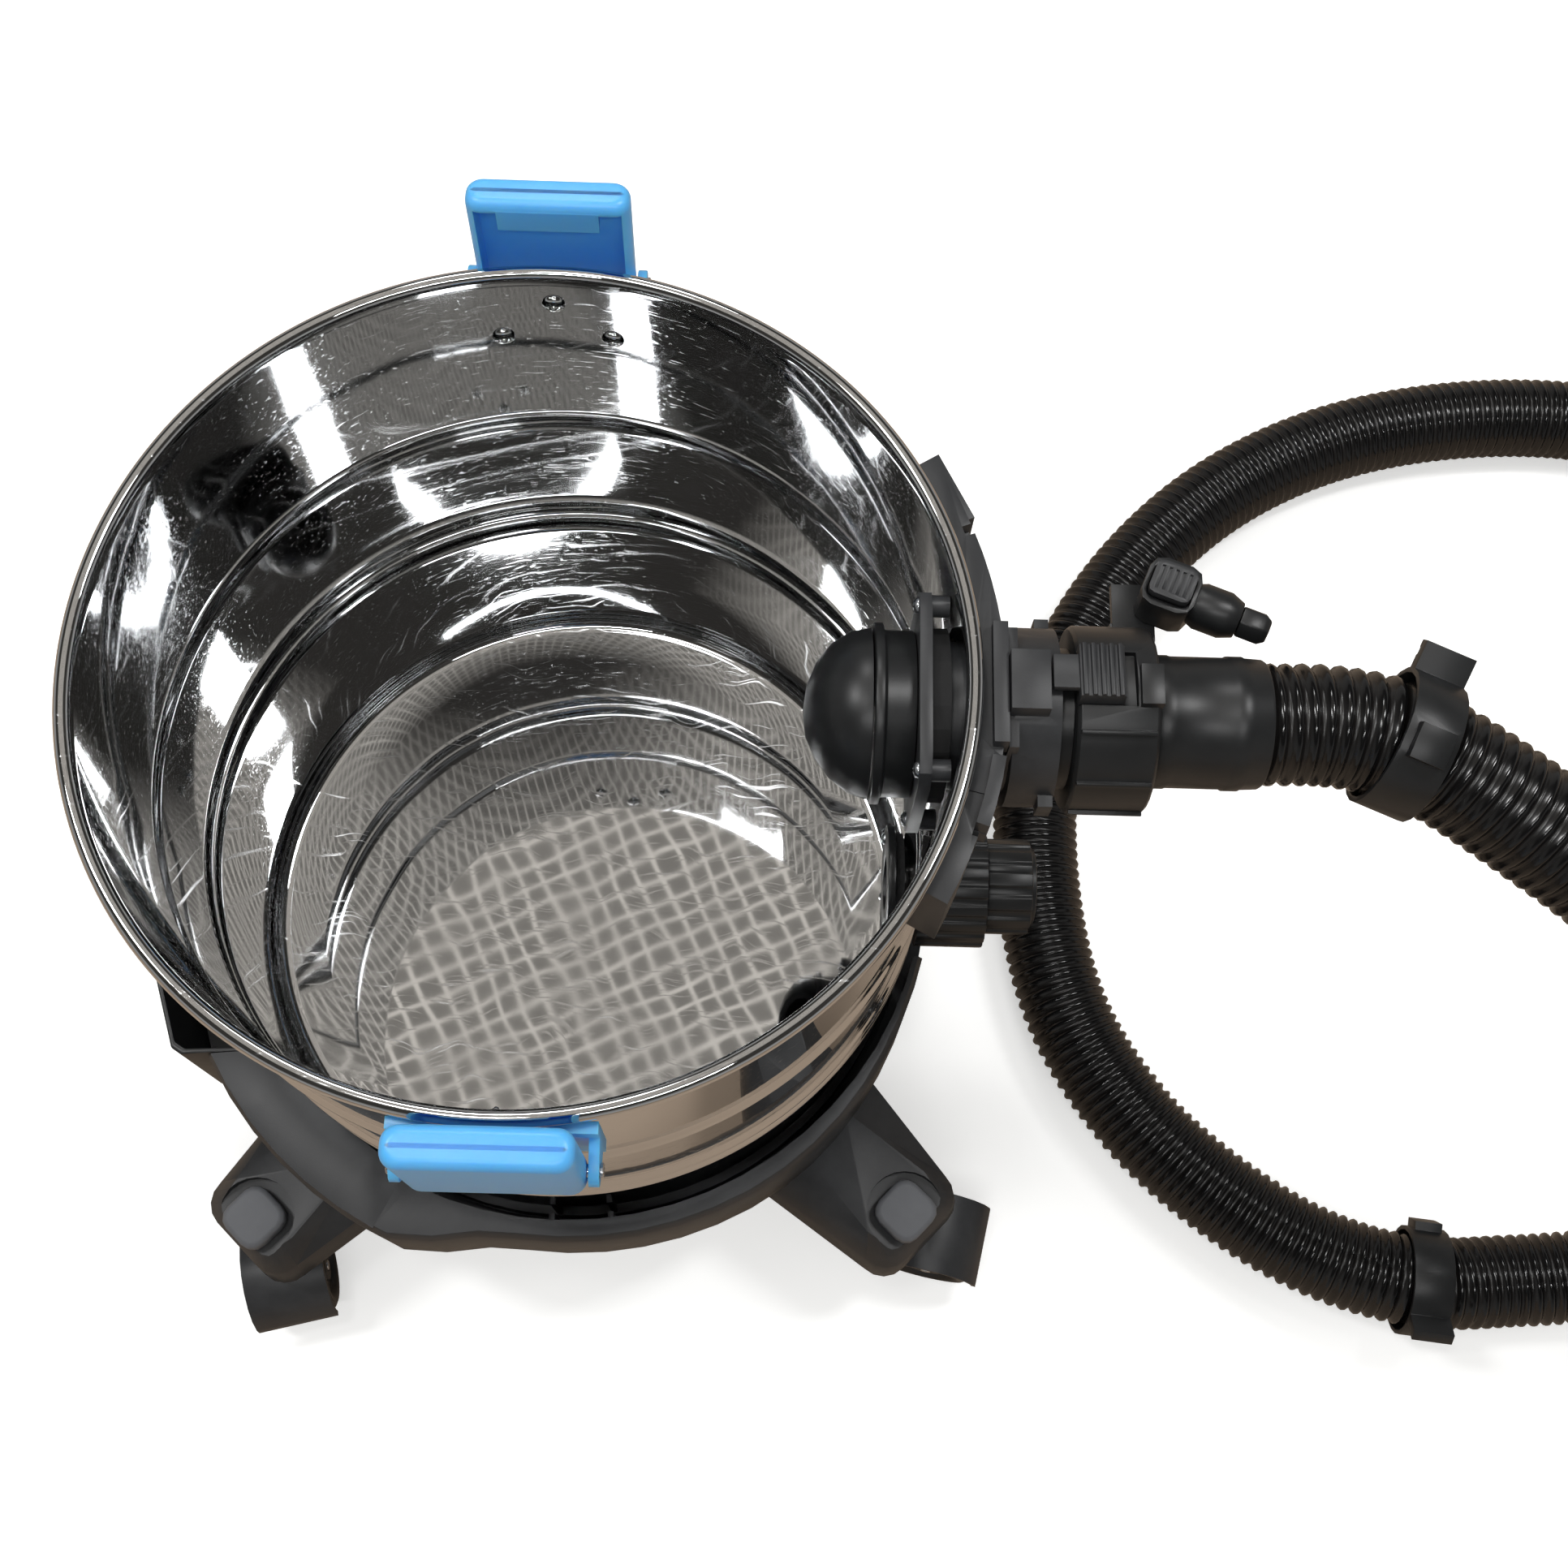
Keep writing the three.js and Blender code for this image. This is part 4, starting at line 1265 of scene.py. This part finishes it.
@dataclass
class SuctionHose:
    """Corrugated hose from the cuff down to the floor and round a loop to its tool cuff."""

    radius: float = 25.5 * MM
    groove_depth: float = 2.5 * MM
    pitch: float = 6.6 * MM
    rings_per_pitch: int = 6
    sides: int = 28
    samples_per_point: int = 20
    # The route in millimetres from the tank's axis: out of the cuff, over, down and round on the floor.
    route: tuple[tuple[float, float, float], ...] = (
        (299.4, 0, 404), (330, 0, 404), (360, -6, 402), (426, -42, 388), (489, -86, 372), (552, -126, 338),
        (604, -160, 284), (636, -182, 218), (642, -192, 152), (624, -192, 90), (584, -184, 46),
        (530, -187, 31.5), (474, -189, 31), (420, -175, 28.5), (369, -146, 26), (318, -101, 26),
        (279, -38, 26), (263, 45, 26), (270, 138, 26), (308, 222, 26), (370, 293, 26), (446, 340, 26),
        (534, 365, 26), (626, 369, 26), (706, 352, 26), (776, 303, 26), (822, 234, 26), (842, 152, 26),
        (842, 70, 26),
    )

    def middle_line(self, shop: Workshop) -> list[Vector]:
        """Sample the smooth line through the route's points (a centripetal Catmull-Rom curve).

        Args:
            shop: Frame, palette and axis.

        Returns:
            Points along the line, in metres.
        """
        knots = [shop.from_axis(*point) for point in self.route]
        knots = [2 * knots[0] - knots[1], *knots, 2 * knots[-1] - knots[-2]]
        line = []
        for a, b, c, d in zip(knots, knots[1:], knots[2:], knots[3:]):
            t1 = math.sqrt((b - a).length)
            t2 = t1 + math.sqrt((c - b).length)
            t3 = t2 + math.sqrt((d - c).length)
            for step in range(self.samples_per_point):
                t = t1 + (t2 - t1) * step / self.samples_per_point
                ab = a.lerp(b, t / t1)
                bc = b.lerp(c, (t - t1) / (t2 - t1))
                cd = c.lerp(d, (t - t2) / (t3 - t2))
                line.append(ab.lerp(bc, t / t2).lerp(bc.lerp(cd, (t - t1) / (t3 - t1)), (t - t1) / (t2 - t1)))
        line.append(knots[-2])
        return line

    def tree(self) -> bpy.types.NodeTree:
        """Build the tree: the line resampled to a few rings a corrugation and swept by a circle.

        Returns:
            The tree.
        """
        tree, given, outlet = new_geometry_tree("corrugated_hose", {
            "Radius": ("NodeSocketFloat", self.radius),
            "Groove Depth": ("NodeSocketFloat", self.groove_depth),
            "Pitch": ("NodeSocketFloat", self.pitch),
            "Rings per Pitch": ("NodeSocketFloat", float(self.rings_per_pitch)),
            "Sides": ("NodeSocketInt", self.sides),
            "Material": ("NodeSocketMaterial", None),
        })
        ring = add_node(
            tree, "ShaderNodeMath", {"operation": "DIVIDE"},
            {0: given.outputs["Pitch"], 1: given.outputs["Rings per Pitch"]},
        )
        fine = add_node(
            tree, "GeometryNodeResampleCurve", {"mode": "LENGTH"},
            {"Curve": given.outputs["Geometry"], "Length": ring.outputs[0]},
        )
        along = add_node(tree, "GeometryNodeSplineParameter")
        turns = add_node(
            tree, "ShaderNodeMath", {"operation": "DIVIDE"},
            {0: along.outputs["Length"], 1: given.outputs["Pitch"]},
        )
        phase = add_node(
            tree, "ShaderNodeMath", {"operation": "MULTIPLY", 1: 2 * math.pi}, {0: turns.outputs[0]}
        )
        wave = add_node(tree, "ShaderNodeMath", {"operation": "COSINE"}, {0: phase.outputs[0]})
        groove = add_node(
            tree, "ShaderNodeMapRange", {"From Min": -0.75, "From Max": 0.9}, {"Value": wave.outputs[0]}
        )
        dip = add_node(
            tree, "ShaderNodeMath", {"operation": "MULTIPLY"},
            {0: groove.outputs[0], 1: given.outputs["Groove Depth"]},
        )
        reach = add_node(
            tree, "ShaderNodeMath", {"operation": "SUBTRACT"}, {0: given.outputs["Radius"], 1: dip.outputs[0]}
        )
        marked = add_node(
            tree, "GeometryNodeStoreNamedAttribute",
            {"data_type": "FLOAT", "domain": "POINT", "Name": "groove"},
            {"Geometry": fine.outputs[0], "Value": groove.outputs[0]},
        )
        circle = add_node(
            tree, "GeometryNodeCurvePrimitiveCircle", {"Radius": 1.0}, {"Resolution": given.outputs["Sides"]}
        )
        sweep = add_node(
            tree, "GeometryNodeCurveToMesh", {"Fill Caps": True},
            {"Profile Curve": circle.outputs["Curve"]},
        )
        if "Scale" in sweep.inputs:
            tree.links.new(marked.outputs[0], sweep.inputs["Curve"])
            tree.links.new(reach.outputs[0], sweep.inputs["Scale"])
        else:
            sized = add_node(
                tree, "GeometryNodeSetCurveRadius",
                links={"Curve": marked.outputs[0], "Radius": reach.outputs[0]},
            )
            tree.links.new(sized.outputs[0], sweep.inputs["Curve"])
        smooth = add_node(tree, "GeometryNodeSetShadeSmooth", links={"Geometry": sweep.outputs[0]})
        finish_tree(tree, outlet, smooth.outputs[0], given.outputs["Material"])
        return tree

    def build(self, shop: Workshop, on_hose: Sequence[bpy.types.Object]) -> None:
        """Args:
            shop: Frame and palette.
            on_hose: Clips and tool cuff that go with it; not used.
        """
        line = self.middle_line(shop)
        data = bpy.data.curves.new("suction_hose_line", "CURVE")
        data.dimensions = "3D"
        spline = data.splines.new("POLY")
        spline.points.add(len(line) - 1)
        for point, place in zip(spline.points, line):
            point.co = (*place, 1.0)
        piece = piece_from("corrugated_suction_hose", data)
        tree = self.tree()
        modifier = piece.modifiers.new("sweep", "NODES")
        modifier.node_group = tree
        modifier[socket_id(tree, "Material")] = shop.palette.of(Slot.HOSE_PLASTIC)
        piece = shop.hand_over(baked(piece, None), Slot.HOSE_PLASTIC, "chassis", ["suction_hose"])


@dataclass
class HoseFittings:
    """Clips strapped round the hose and the tool cuff at its far end."""

    def build(self, shop: Workshop) -> list[bpy.types.Object]:
        """Build the clips and the cuff.

        Returns:
            The pieces that lie on the hose.
        """
        names = ("hose_clip_high", "hose_clip_low", "tool_cuff")
        return [shop.moulding(name, Slot.BLACK_PLASTIC, "chassis", 0.6) for name in names]


# ---------------------------------------------------------------- tank


@dataclass
class Tank:
    """Spun stainless tank with swaged beads, a rolled rim and holes for inlet and drain."""

    inner_radius: float = 173.6
    wall: float = 1.2
    floor: float = 97.0
    corner: float = 8.0
    rim_top: float = 450.0
    rim_roll: float = 3.4
    beads: tuple[float, ...] = (225.0, 243.0, 331.0)
    bead_depth: float = 2.5
    bead_half: float = 6.0
    row_step: float = 6.0
    segments: int = 192
    # Holes on the +X side: height and radius.
    holes: tuple[tuple[float, float], ...] = ((404.0, 32.0), (155.0, 20.0))

    def bulge(self, z: float) -> float:
        """How far a bead pushes the wall out at a height.

        Args:
            z: Height in millimetres.

        Returns:
            The distance in millimetres.
        """
        for bead in self.beads:
            share = abs(z - bead) / self.bead_half
            if share < 1:
                return self.bead_depth * (0.5 + 0.5 * math.cos(math.pi * share)) ** 0.8
        return 0.0

    def rows(self) -> list[float]:
        """Heights of the wall's rows, closer together on the beads.

        Returns:
            The heights, from the lowest up.
        """
        bottom, top = self.floor + self.corner, self.rim_top - self.rim_roll - 4
        heights = {round(b + self.bead_half * k / 6, 3) for b in self.beads for k in range(-6, 7)}
        count = round((top - bottom) / self.row_step)
        for i in range(count + 1):
            z = bottom + (top - bottom) * i / count
            if all(abs(z - bead) > self.bead_half + 1.5 for bead in self.beads):
                heights.add(round(z, 3))
        return sorted(heights)

    def profile(self) -> list[Point]:
        """Closed profile in millimetres: floor, inner wall, rolled rim, outer wall and underside.

        Returns:
            Points of radius and height.
        """
        rows = self.rows()
        corner_middle = (self.inner_radius - self.corner, self.floor + self.corner)
        turns = [math.radians(-90 + 90 * k / 6) for k in range(7)]

        def corner_arc(radius: float) -> list[Point]:
            """Points of the round corner between floor and wall, at a radius about its middle.

            Args:
                radius: Radius of the arc.

            Returns:
                Points of radius and height.
            """
            return [
                (corner_middle[0] + radius * math.cos(t), corner_middle[1] + radius * math.sin(t))
                for t in turns
            ]

        floor_radii = [corner_middle[0] * k / 9 for k in range(9)]
        inner = [(r, self.floor) for r in floor_radii] + corner_arc(self.corner)
        inner += [(self.inner_radius + self.bulge(z), z) for z in rows[1:]]
        roll_r = self.inner_radius + self.rim_roll
        roll_z = self.rim_top - self.rim_roll
        rim = [
            (roll_r + self.rim_roll * math.cos(a), roll_z + self.rim_roll * math.sin(a))
            for a in (math.radians(180 - 18 * k) for k in range(16))
        ]
        outer = [(self.inner_radius + self.wall + self.bulge(z), z) for z in reversed(rows[1:])]
        under = corner_arc(self.corner + self.wall)[::-1]
        under += [(r, self.floor - self.wall) for r in reversed(floor_radii)]
        return inner + rim + outer + under

    def cut_hole(self, bm: bmesh.types.BMesh, height: float, radius: float) -> None:
        """Open a round hole through both skins on the +X side and close its edge.

        Args:
            bm: Tank in millimetres about its own axis.
            height: Height of the hole's middle.
            radius: Radius of the hole.
        """

        def inside(point: Vector) -> bool:
            """Whether a point of the wall lies in the hole."""
            return point.x > 0.8 * self.inner_radius and math.hypot(point.y, point.z - height) < radius

        doomed = [face for face in bm.faces if inside(face.calc_center_median())]
        loose = {vert for face in doomed for vert in face.verts}
        kept = {vert for vert in loose if any(face not in doomed for face in vert.link_faces)}
        bmesh.ops.delete(bm, geom=doomed, context="FACES")
        for vert in kept:
            reach = math.hypot(vert.co.x, vert.co.y)
            out = Vector((vert.co.y, vert.co.z - height)).normalized() * radius
            vert.co = Vector((math.sqrt(reach ** 2 - out.x ** 2), out.x, height + out.y))
        edge = [e for e in bm.edges if len(e.link_faces) == 1 and e.verts[0] in kept and e.verts[1] in kept]
        bmesh.ops.bridge_loops(bm, edges=edge)

    def build(self, shop: Workshop) -> None:
        """Spin the tank, open its holes and hand it over.

        Args:
            shop: Frame, palette and axis.
        """
        bm = lathe(self.profile(), self.segments, Matrix.Rotation(math.pi / self.segments, 4, "Z"), 50.0)
        for height, radius in self.holes:
            self.cut_hole(bm, height, radius)
        bmesh.ops.recalc_face_normals(bm, faces=bm.faces)
        set_sharp_edges(bm, 50.0)
        bm.transform(Matrix.Translation(shop.axis) @ Matrix.Scale(MM, 4))
        shop.turned_part("spun_tank", bm, Slot.MIRROR_STEEL, "chassis", ["tank_shell"])


# ---------------------------------------------------------------- base, legs and castors


@dataclass
class CastorBase:
    """Base dish with its ring and pocket, four legs, and the twin-wheel castors."""

    stem_reach: float = 243.0  # tank axis to a castor's stem
    trail: float = 22.0
    axle_height: float = 24.62
    wheel_radius: float = 25.0
    wheel_inner: float = 5.4
    wheel_width: float = 15.5
    axle_radius: float = 3.0

    def wheel_place(self, shop: Workshop, corner: Corner) -> Matrix:
        """Placement of a castor's axle: its Z lies along the axle.

        Args:
            shop: Frame, palette and axis.
            corner: Which of the four castors.

        Returns:
            The placement, in metres.
        """
        leg, trail = math.radians(corner.leg_angle), math.radians(corner.trail_angle)
        middle = shop.from_axis(
            self.stem_reach * math.cos(leg) + self.trail * math.cos(trail),
            self.stem_reach * math.sin(leg) + self.trail * math.sin(trail),
            self.axle_height,
        )
        turn = Matrix.Rotation(trail, 4, "Z") @ Matrix.Rotation(-math.pi / 2, 4, "X")
        return Matrix.Translation(middle) @ turn @ Matrix.Scale(MM, 4)

    def wheel_profile(self, side: float) -> list[Point]:
        """Closed profile of one wheel: a rounded tread, a dished outer face and a hub.

        Args:
            side: 1 for the wheel on the +Z side of the axle, -1 for the other.

        Returns:
            Points of radius and height.
        """
        tread = self.wheel_radius - 0.05
        inner, outer = self.wheel_inner, self.wheel_inner + self.wheel_width
        shape = [
            (3.4, inner), (tread - 1.5, inner), (tread, inner + 1.5), (tread, outer - 4.0),
            (tread - 1.2, outer - 1.4), (tread - 3.6, outer), (19.0, outer), (17.4, outer - 0.9),
            (15.6, outer - 3.4), (9.0, outer - 3.6), (8.0, outer - 1.6), (3.4, outer - 1.4),
        ]
        return [(radius, side * height) for radius, height in shape]

    def build_castor(self, shop: Workshop, corner: Corner) -> None:
        """Build one castor: hood, axle and two wheels.

        Args:
            shop: Frame, palette and axis.
            corner: Which of the four castors.
        """
        place = self.wheel_place(shop, corner)
        shop.moulding(f"castor_hood_{corner.label}", Slot.GREY_PLASTIC, f"castor_{corner.label}", 0.7)
        body = f"wheels_{corner.label}"
        for side, hand in ((1.0, "left"), (-1.0, "right")):
            wheel = lathe(self.wheel_profile(side), 56, place, 30.0)
            name = f"castor_wheel_{hand}_{corner.label}"
            shop.turned_part(f"{name}_turned", wheel, Slot.BLACK_PLASTIC, body, [name])
        half = 20.0
        rod = [
            (0.0, -half), (self.axle_radius - 0.5, -half), (self.axle_radius, 0.5 - half),
            (self.axle_radius, half - 0.5), (self.axle_radius - 0.5, half), (0.0, half),
        ]
        name = f"castor_axle_{corner.label}"
        shop.turned_part(f"{name}_turned", lathe(rod, 32, place), Slot.ZINC_STEEL, body, [name])

    def build(self, shop: Workshop) -> None:
        """Build the dish, the pocket, the legs with their screws and caps, and the castors.

        Args:
            shop: Frame, palette and axis.
        """
        shop.moulding("base_dish", Slot.GREY_PLASTIC, "chassis", 1.1)
        shop.moulding("accessory_pocket", Slot.BLACK_PLASTIC, "chassis", 0.9)
        screws = []
        for corner in Corner:
            shop.moulding(f"leg_{corner.label}", Slot.GREY_PLASTIC, "chassis", 1.6, 3)
            shop.moulding(f"leg_cap_{corner.label}", Slot.PAD_PLASTIC, "chassis", 0.9)
            angle = math.radians(corner.leg_angle)
            for across in (-16.0, 16.0):
                x = 150.0 * math.cos(angle) - across * math.sin(angle)
                y = 150.0 * math.sin(angle) + across * math.cos(angle)
                screws.append((shop.from_axis(x, y, 66.0), Vector((0.0, 0.0, -1.0))))
            self.build_castor(shop, corner)
        fasteners(shop, "leg_screws", ScrewSet(), screws, Slot.ZINC_STEEL, "chassis")


# ---------------------------------------------------------------- latches


@dataclass
class Latches:
    """Blue draw latches for the motor head, with brackets, pins and rivets, made at the back and turned."""

    half_width: float = 34.0
    inner_face: float = 183.5
    outer_face: float = 199.5
    pivot_radius: float = 191.0
    pivot_height: float = 420.0
    top: float = 476.0
    low: float = 413.0
    skin: float = 3.5
    corner: float = 5.0
    tooth_half: float = 21.0
    lean: dict[str, float] = field(default_factory=lambda: {"back": 5.5, "front": 0.0})
    rivets: tuple[tuple[float, float], ...] = ((0.0, 430.0), (-24.0, 406.0), (24.0, 406.0))

    def lever(self, shop: Workshop, end: str) -> None:
        """Build one lever: a round-cornered lip, hollow behind, with a hooked edge over the head's rim.

        Args:
            shop: Frame, palette and axis.
            end: "back" or "front".
        """
        middle = (self.inner_face + self.outer_face) / 2
        half_deep = (self.outer_face - self.inner_face) / 2
        levels = []
        for lift in range(9):
            share = lift / 8
            inset = self.corner * (1 - math.cos(share * math.pi / 2)) * 0.8
            height = self.top - self.corner * (1 - math.sin(share * math.pi / 2))
            levels.append((height, inset))
        outline = [(self.low, 1.6), (self.low + 1.6, 0.0), *levels]
        shape = [
            (z, rounded_outline(self.half_width - inset, half_deep - min(inset, 4.0), 6.5 - inset * 0.4))
            for z, inset in outline
        ]
        body = skinned(shape)
        body.transform(Matrix.Translation((0.0, middle, 0.0)))
        inside = self.half_width - self.skin
        hollow = block((-inside, 150.0, 350.0), (inside, self.outer_face - self.skin, self.top - 5.0))
        nose = block((-60.0, 170.0, 400.0), (60.0, self.pivot_radius - 7.0, self.pivot_height + 10.0))
        tooth = block(
            (-self.tooth_half, self.inner_face, self.top - 15.0),
            (self.tooth_half, self.inner_face + 4.5, self.top - 4.0),
        )
        bore = lathe(
            [(0.0, -60.0), (2.85, -60.0), (2.85, 60.0), (0.0, 60.0)], 24,
            along_x(0.0, self.pivot_radius, self.pivot_height),
        )
        tools = [("DIFFERENCE", hollow), ("DIFFERENCE", nose), ("UNION", tooth), ("DIFFERENCE", bore)]
        piece = combined(body, tools, f"latch_{end}_lever")
        pivot = Vector((0.0, self.pivot_radius, self.pivot_height))
        lean = Matrix.Rotation(-math.radians(self.lean[end]), 4, "X")
        leaning = Matrix.Translation(pivot) @ lean @ Matrix.Translation(-pivot)
        turn = Matrix.Rotation(0.0 if end == "back" else math.pi, 4, "Z")
        piece.data.transform(Matrix.Translation(shop.axis) @ turn @ Matrix.Scale(MM, 4) @ leaning)
        piece = bevelled(piece, 0.7 * MM, 3, 40.0)
        shop.hand_over(piece, Slot.BLUE_PLASTIC, f"latch_lever_{end}", [f"latch_{end}"])

    def pin(self, shop: Workshop, end: str, side: float) -> None:
        """Build one hinge pin with its flared ends.

        Args:
            shop: Frame, palette and axis.
            end: "back" or "front".
            side: 1 at the back, -1 at the front.
        """
        low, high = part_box(f"latch_pin_{end}")
        half = (high.x - low.x) / 2 / MM
        rod = [
            (0.0, -half), (2.6, -half), (3.1, 0.4 - half), (3.1, 1.2 - half), (2.5, 1.3 - half),
            (2.5, half - 1.3), (3.1, half - 1.2), (3.1, half - 0.4), (2.6, half), (0.0, half),
        ]
        middle = shop.from_axis(0.0, side * self.pivot_radius, self.pivot_height)
        place = along_x(*middle) @ Matrix.Scale(MM, 4)
        shop.turned_part(
            f"latch_pin_{end}_turned", lathe(rod, 28, place), Slot.ZINC_STEEL, "chassis", [f"latch_pin_{end}"]
        )

    def build(self, shop: Workshop) -> None:
        """Build both latches and the rivets that hold their brackets.

        Args:
            shop: Frame, palette and axis.
        """
        for end, side in TANK_FRONT_BACK.items():
            shop.moulding(f"latch_bracket_{end}", Slot.BLUE_PLASTIC, "chassis", 0.7)
            self.lever(shop, end)
            self.pin(shop, end, side)
            spots = []
            for across, height in self.rivets:
                wall = math.sqrt(Tank.inner_radius ** 2 - across ** 2)
                inward = Vector((-side * across, -side * wall, 0.0)).normalized()
                spots.append((shop.from_axis(side * across, side * (wall - 0.1), height), inward))
                plate = shop.from_axis(side * across, side * 180.5, height)
                spots.append((plate, Vector((0.0, side, 0.0))))
            nodes = [f"latch_rivet_{place}_{end}" for place in ("top", "left", "right")]
            fasteners(
                shop, f"latch_rivets_{end}", RivetSet(), spots, Slot.MIRROR_STEEL, "chassis", nodes
            )


# ---------------------------------------------------------------- inlet, connector and coupler


@dataclass
class SuctionInlet:
    """Inner flange, cup and deflector, the curved plate and its socket, and the hose connector."""

    height: float = 404.0
    flange_face: float = 155.5
    screw_across: float = 35.0
    screw_up: float = 31.0
    cuff_from: float = 251.35
    cuff_to: float = 299.0

    def cuff(self, shop: Workshop) -> None:
        """Build the smooth hose cuff with its end bead and parting step.

        Args:
            shop: Frame, palette and axis.
        """
        start, end = self.cuff_from, self.cuff_to
        outside = [
            (26.9, start), (27.6, start + 0.7), (27.6, start + 8), (27.2, start + 9), (27.2, end - 16),
            (27.8, end - 15), (27.8, end - 9), (27.2, end - 8), (26.8, end - 1), (26.2, end),
        ]
        profile = [(22.5, start), *outside, (22.5, end)]
        bm = lathe(profile, 72, along_x(*shop.from_axis(0.0, 0.0, self.height)) @ Matrix.Scale(MM, 4), 50.0)
        shop.turned_part("hose_cuff_turned", bm, Slot.BLACK_PLASTIC, "chassis", ["hose_cuff"])

    def build(self, shop: Workshop) -> None:
        """Build every piece of the inlet from the inside of the tank outwards.

        Args:
            shop: Frame, palette and axis.
        """
        for node, slot, fillet in (
            ("inner_flange", Slot.GREY_PLASTIC, 0.8),
            ("inlet_cup", Slot.BLACK_PLASTIC, 0.6),
            ("inlet_deflector", Slot.BLACK_PLASTIC, 0.5),
            ("inlet_plate", Slot.GREY_PLASTIC, 0.8),
            ("inlet_socket", Slot.GREY_PLASTIC, 0.8),
            ("connector_collar", Slot.BLACK_PLASTIC, 0.7),
            ("coupler_body", Slot.BLACK_PLASTIC, 0.8),
            ("coupler_nut", Slot.BLACK_PLASTIC, 0.7),
            ("coupler_rest", Slot.BLACK_PLASTIC, 0.6),
        ):
            shop.moulding(node, slot, "chassis", fillet)
        shop.moulding("release_button", Slot.GREY_PLASTIC, "connector_release", 0.5)
        shop.moulding("coupler_button", Slot.GREY_PLASTIC, "coupler_release", 0.4)
        self.cuff(shop)
        shop.dress_node("inlet_seal", Slot.SEAL_RUBBER)
        spots = [
            (shop.from_axis(self.flange_face, side * self.screw_across, self.height + up * self.screw_up),
             Vector((-1.0, 0.0, 0.0)))
            for side in (-1, 1) for up in (-1, 1)
        ]
        fasteners(shop, "inner_flange_screws", ScrewSet(), spots, Slot.ZINC_STEEL, "chassis")


@dataclass
class Drain:
    """Drain port with its seal, ribbed nut and cap."""

    height: float = 155.0
    flange_face: float = 162.0
    screw_across: float = 25.0

    def build(self, shop: Workshop) -> None:
        """Build the drain's pieces and the two screws of its flange.

        Args:
            shop: Frame, palette and axis.
        """
        for node in ("drain_port", "drain_nut"):
            shop.moulding(node, Slot.BLACK_PLASTIC, "chassis", 0.6)
        shop.moulding("drain_cap", Slot.BLACK_PLASTIC, "drain_closure", 0.6)
        shop.dress_node("drain_seal", Slot.SEAL_RUBBER)
        spots = [
            (
                shop.from_axis(self.flange_face, side * self.screw_across, self.height),
                Vector((-1.0, 0.0, 0.0)),
            )
            for side in (-1, 1)
        ]
        fasteners(shop, "drain_flange_screws", ScrewSet(), spots, Slot.ZINC_STEEL, "chassis")


# ---------------------------------------------------------------- the whole object


def corners(bounds: Sequence[Sequence[float]]) -> list[list[float]]:
    """Turn a pair of corners into plain lists of numbers."""
    return [[float(value) for value in corner] for corner in bounds]


def main() -> None:
    """Build the studio and every sub-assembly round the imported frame."""
    logging.basicConfig(level=logging.INFO, format="%(name)s: %(message)s")
    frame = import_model()
    shop = Workshop.around(frame)
    studio = Studio()
    studio.set_camera(shop)
    steps: list[Callable[[Workshop], object]] = [
        lambda s: SuctionHose().build(s, HoseFittings().build(s)),
        studio.build,
        Tank().build,
        CastorBase().build,
        Latches().build,
        SuctionInlet().build,
        Drain().build,
    ]
    for step in steps:
        step(shop)


if __name__ == "__main__":
    main()
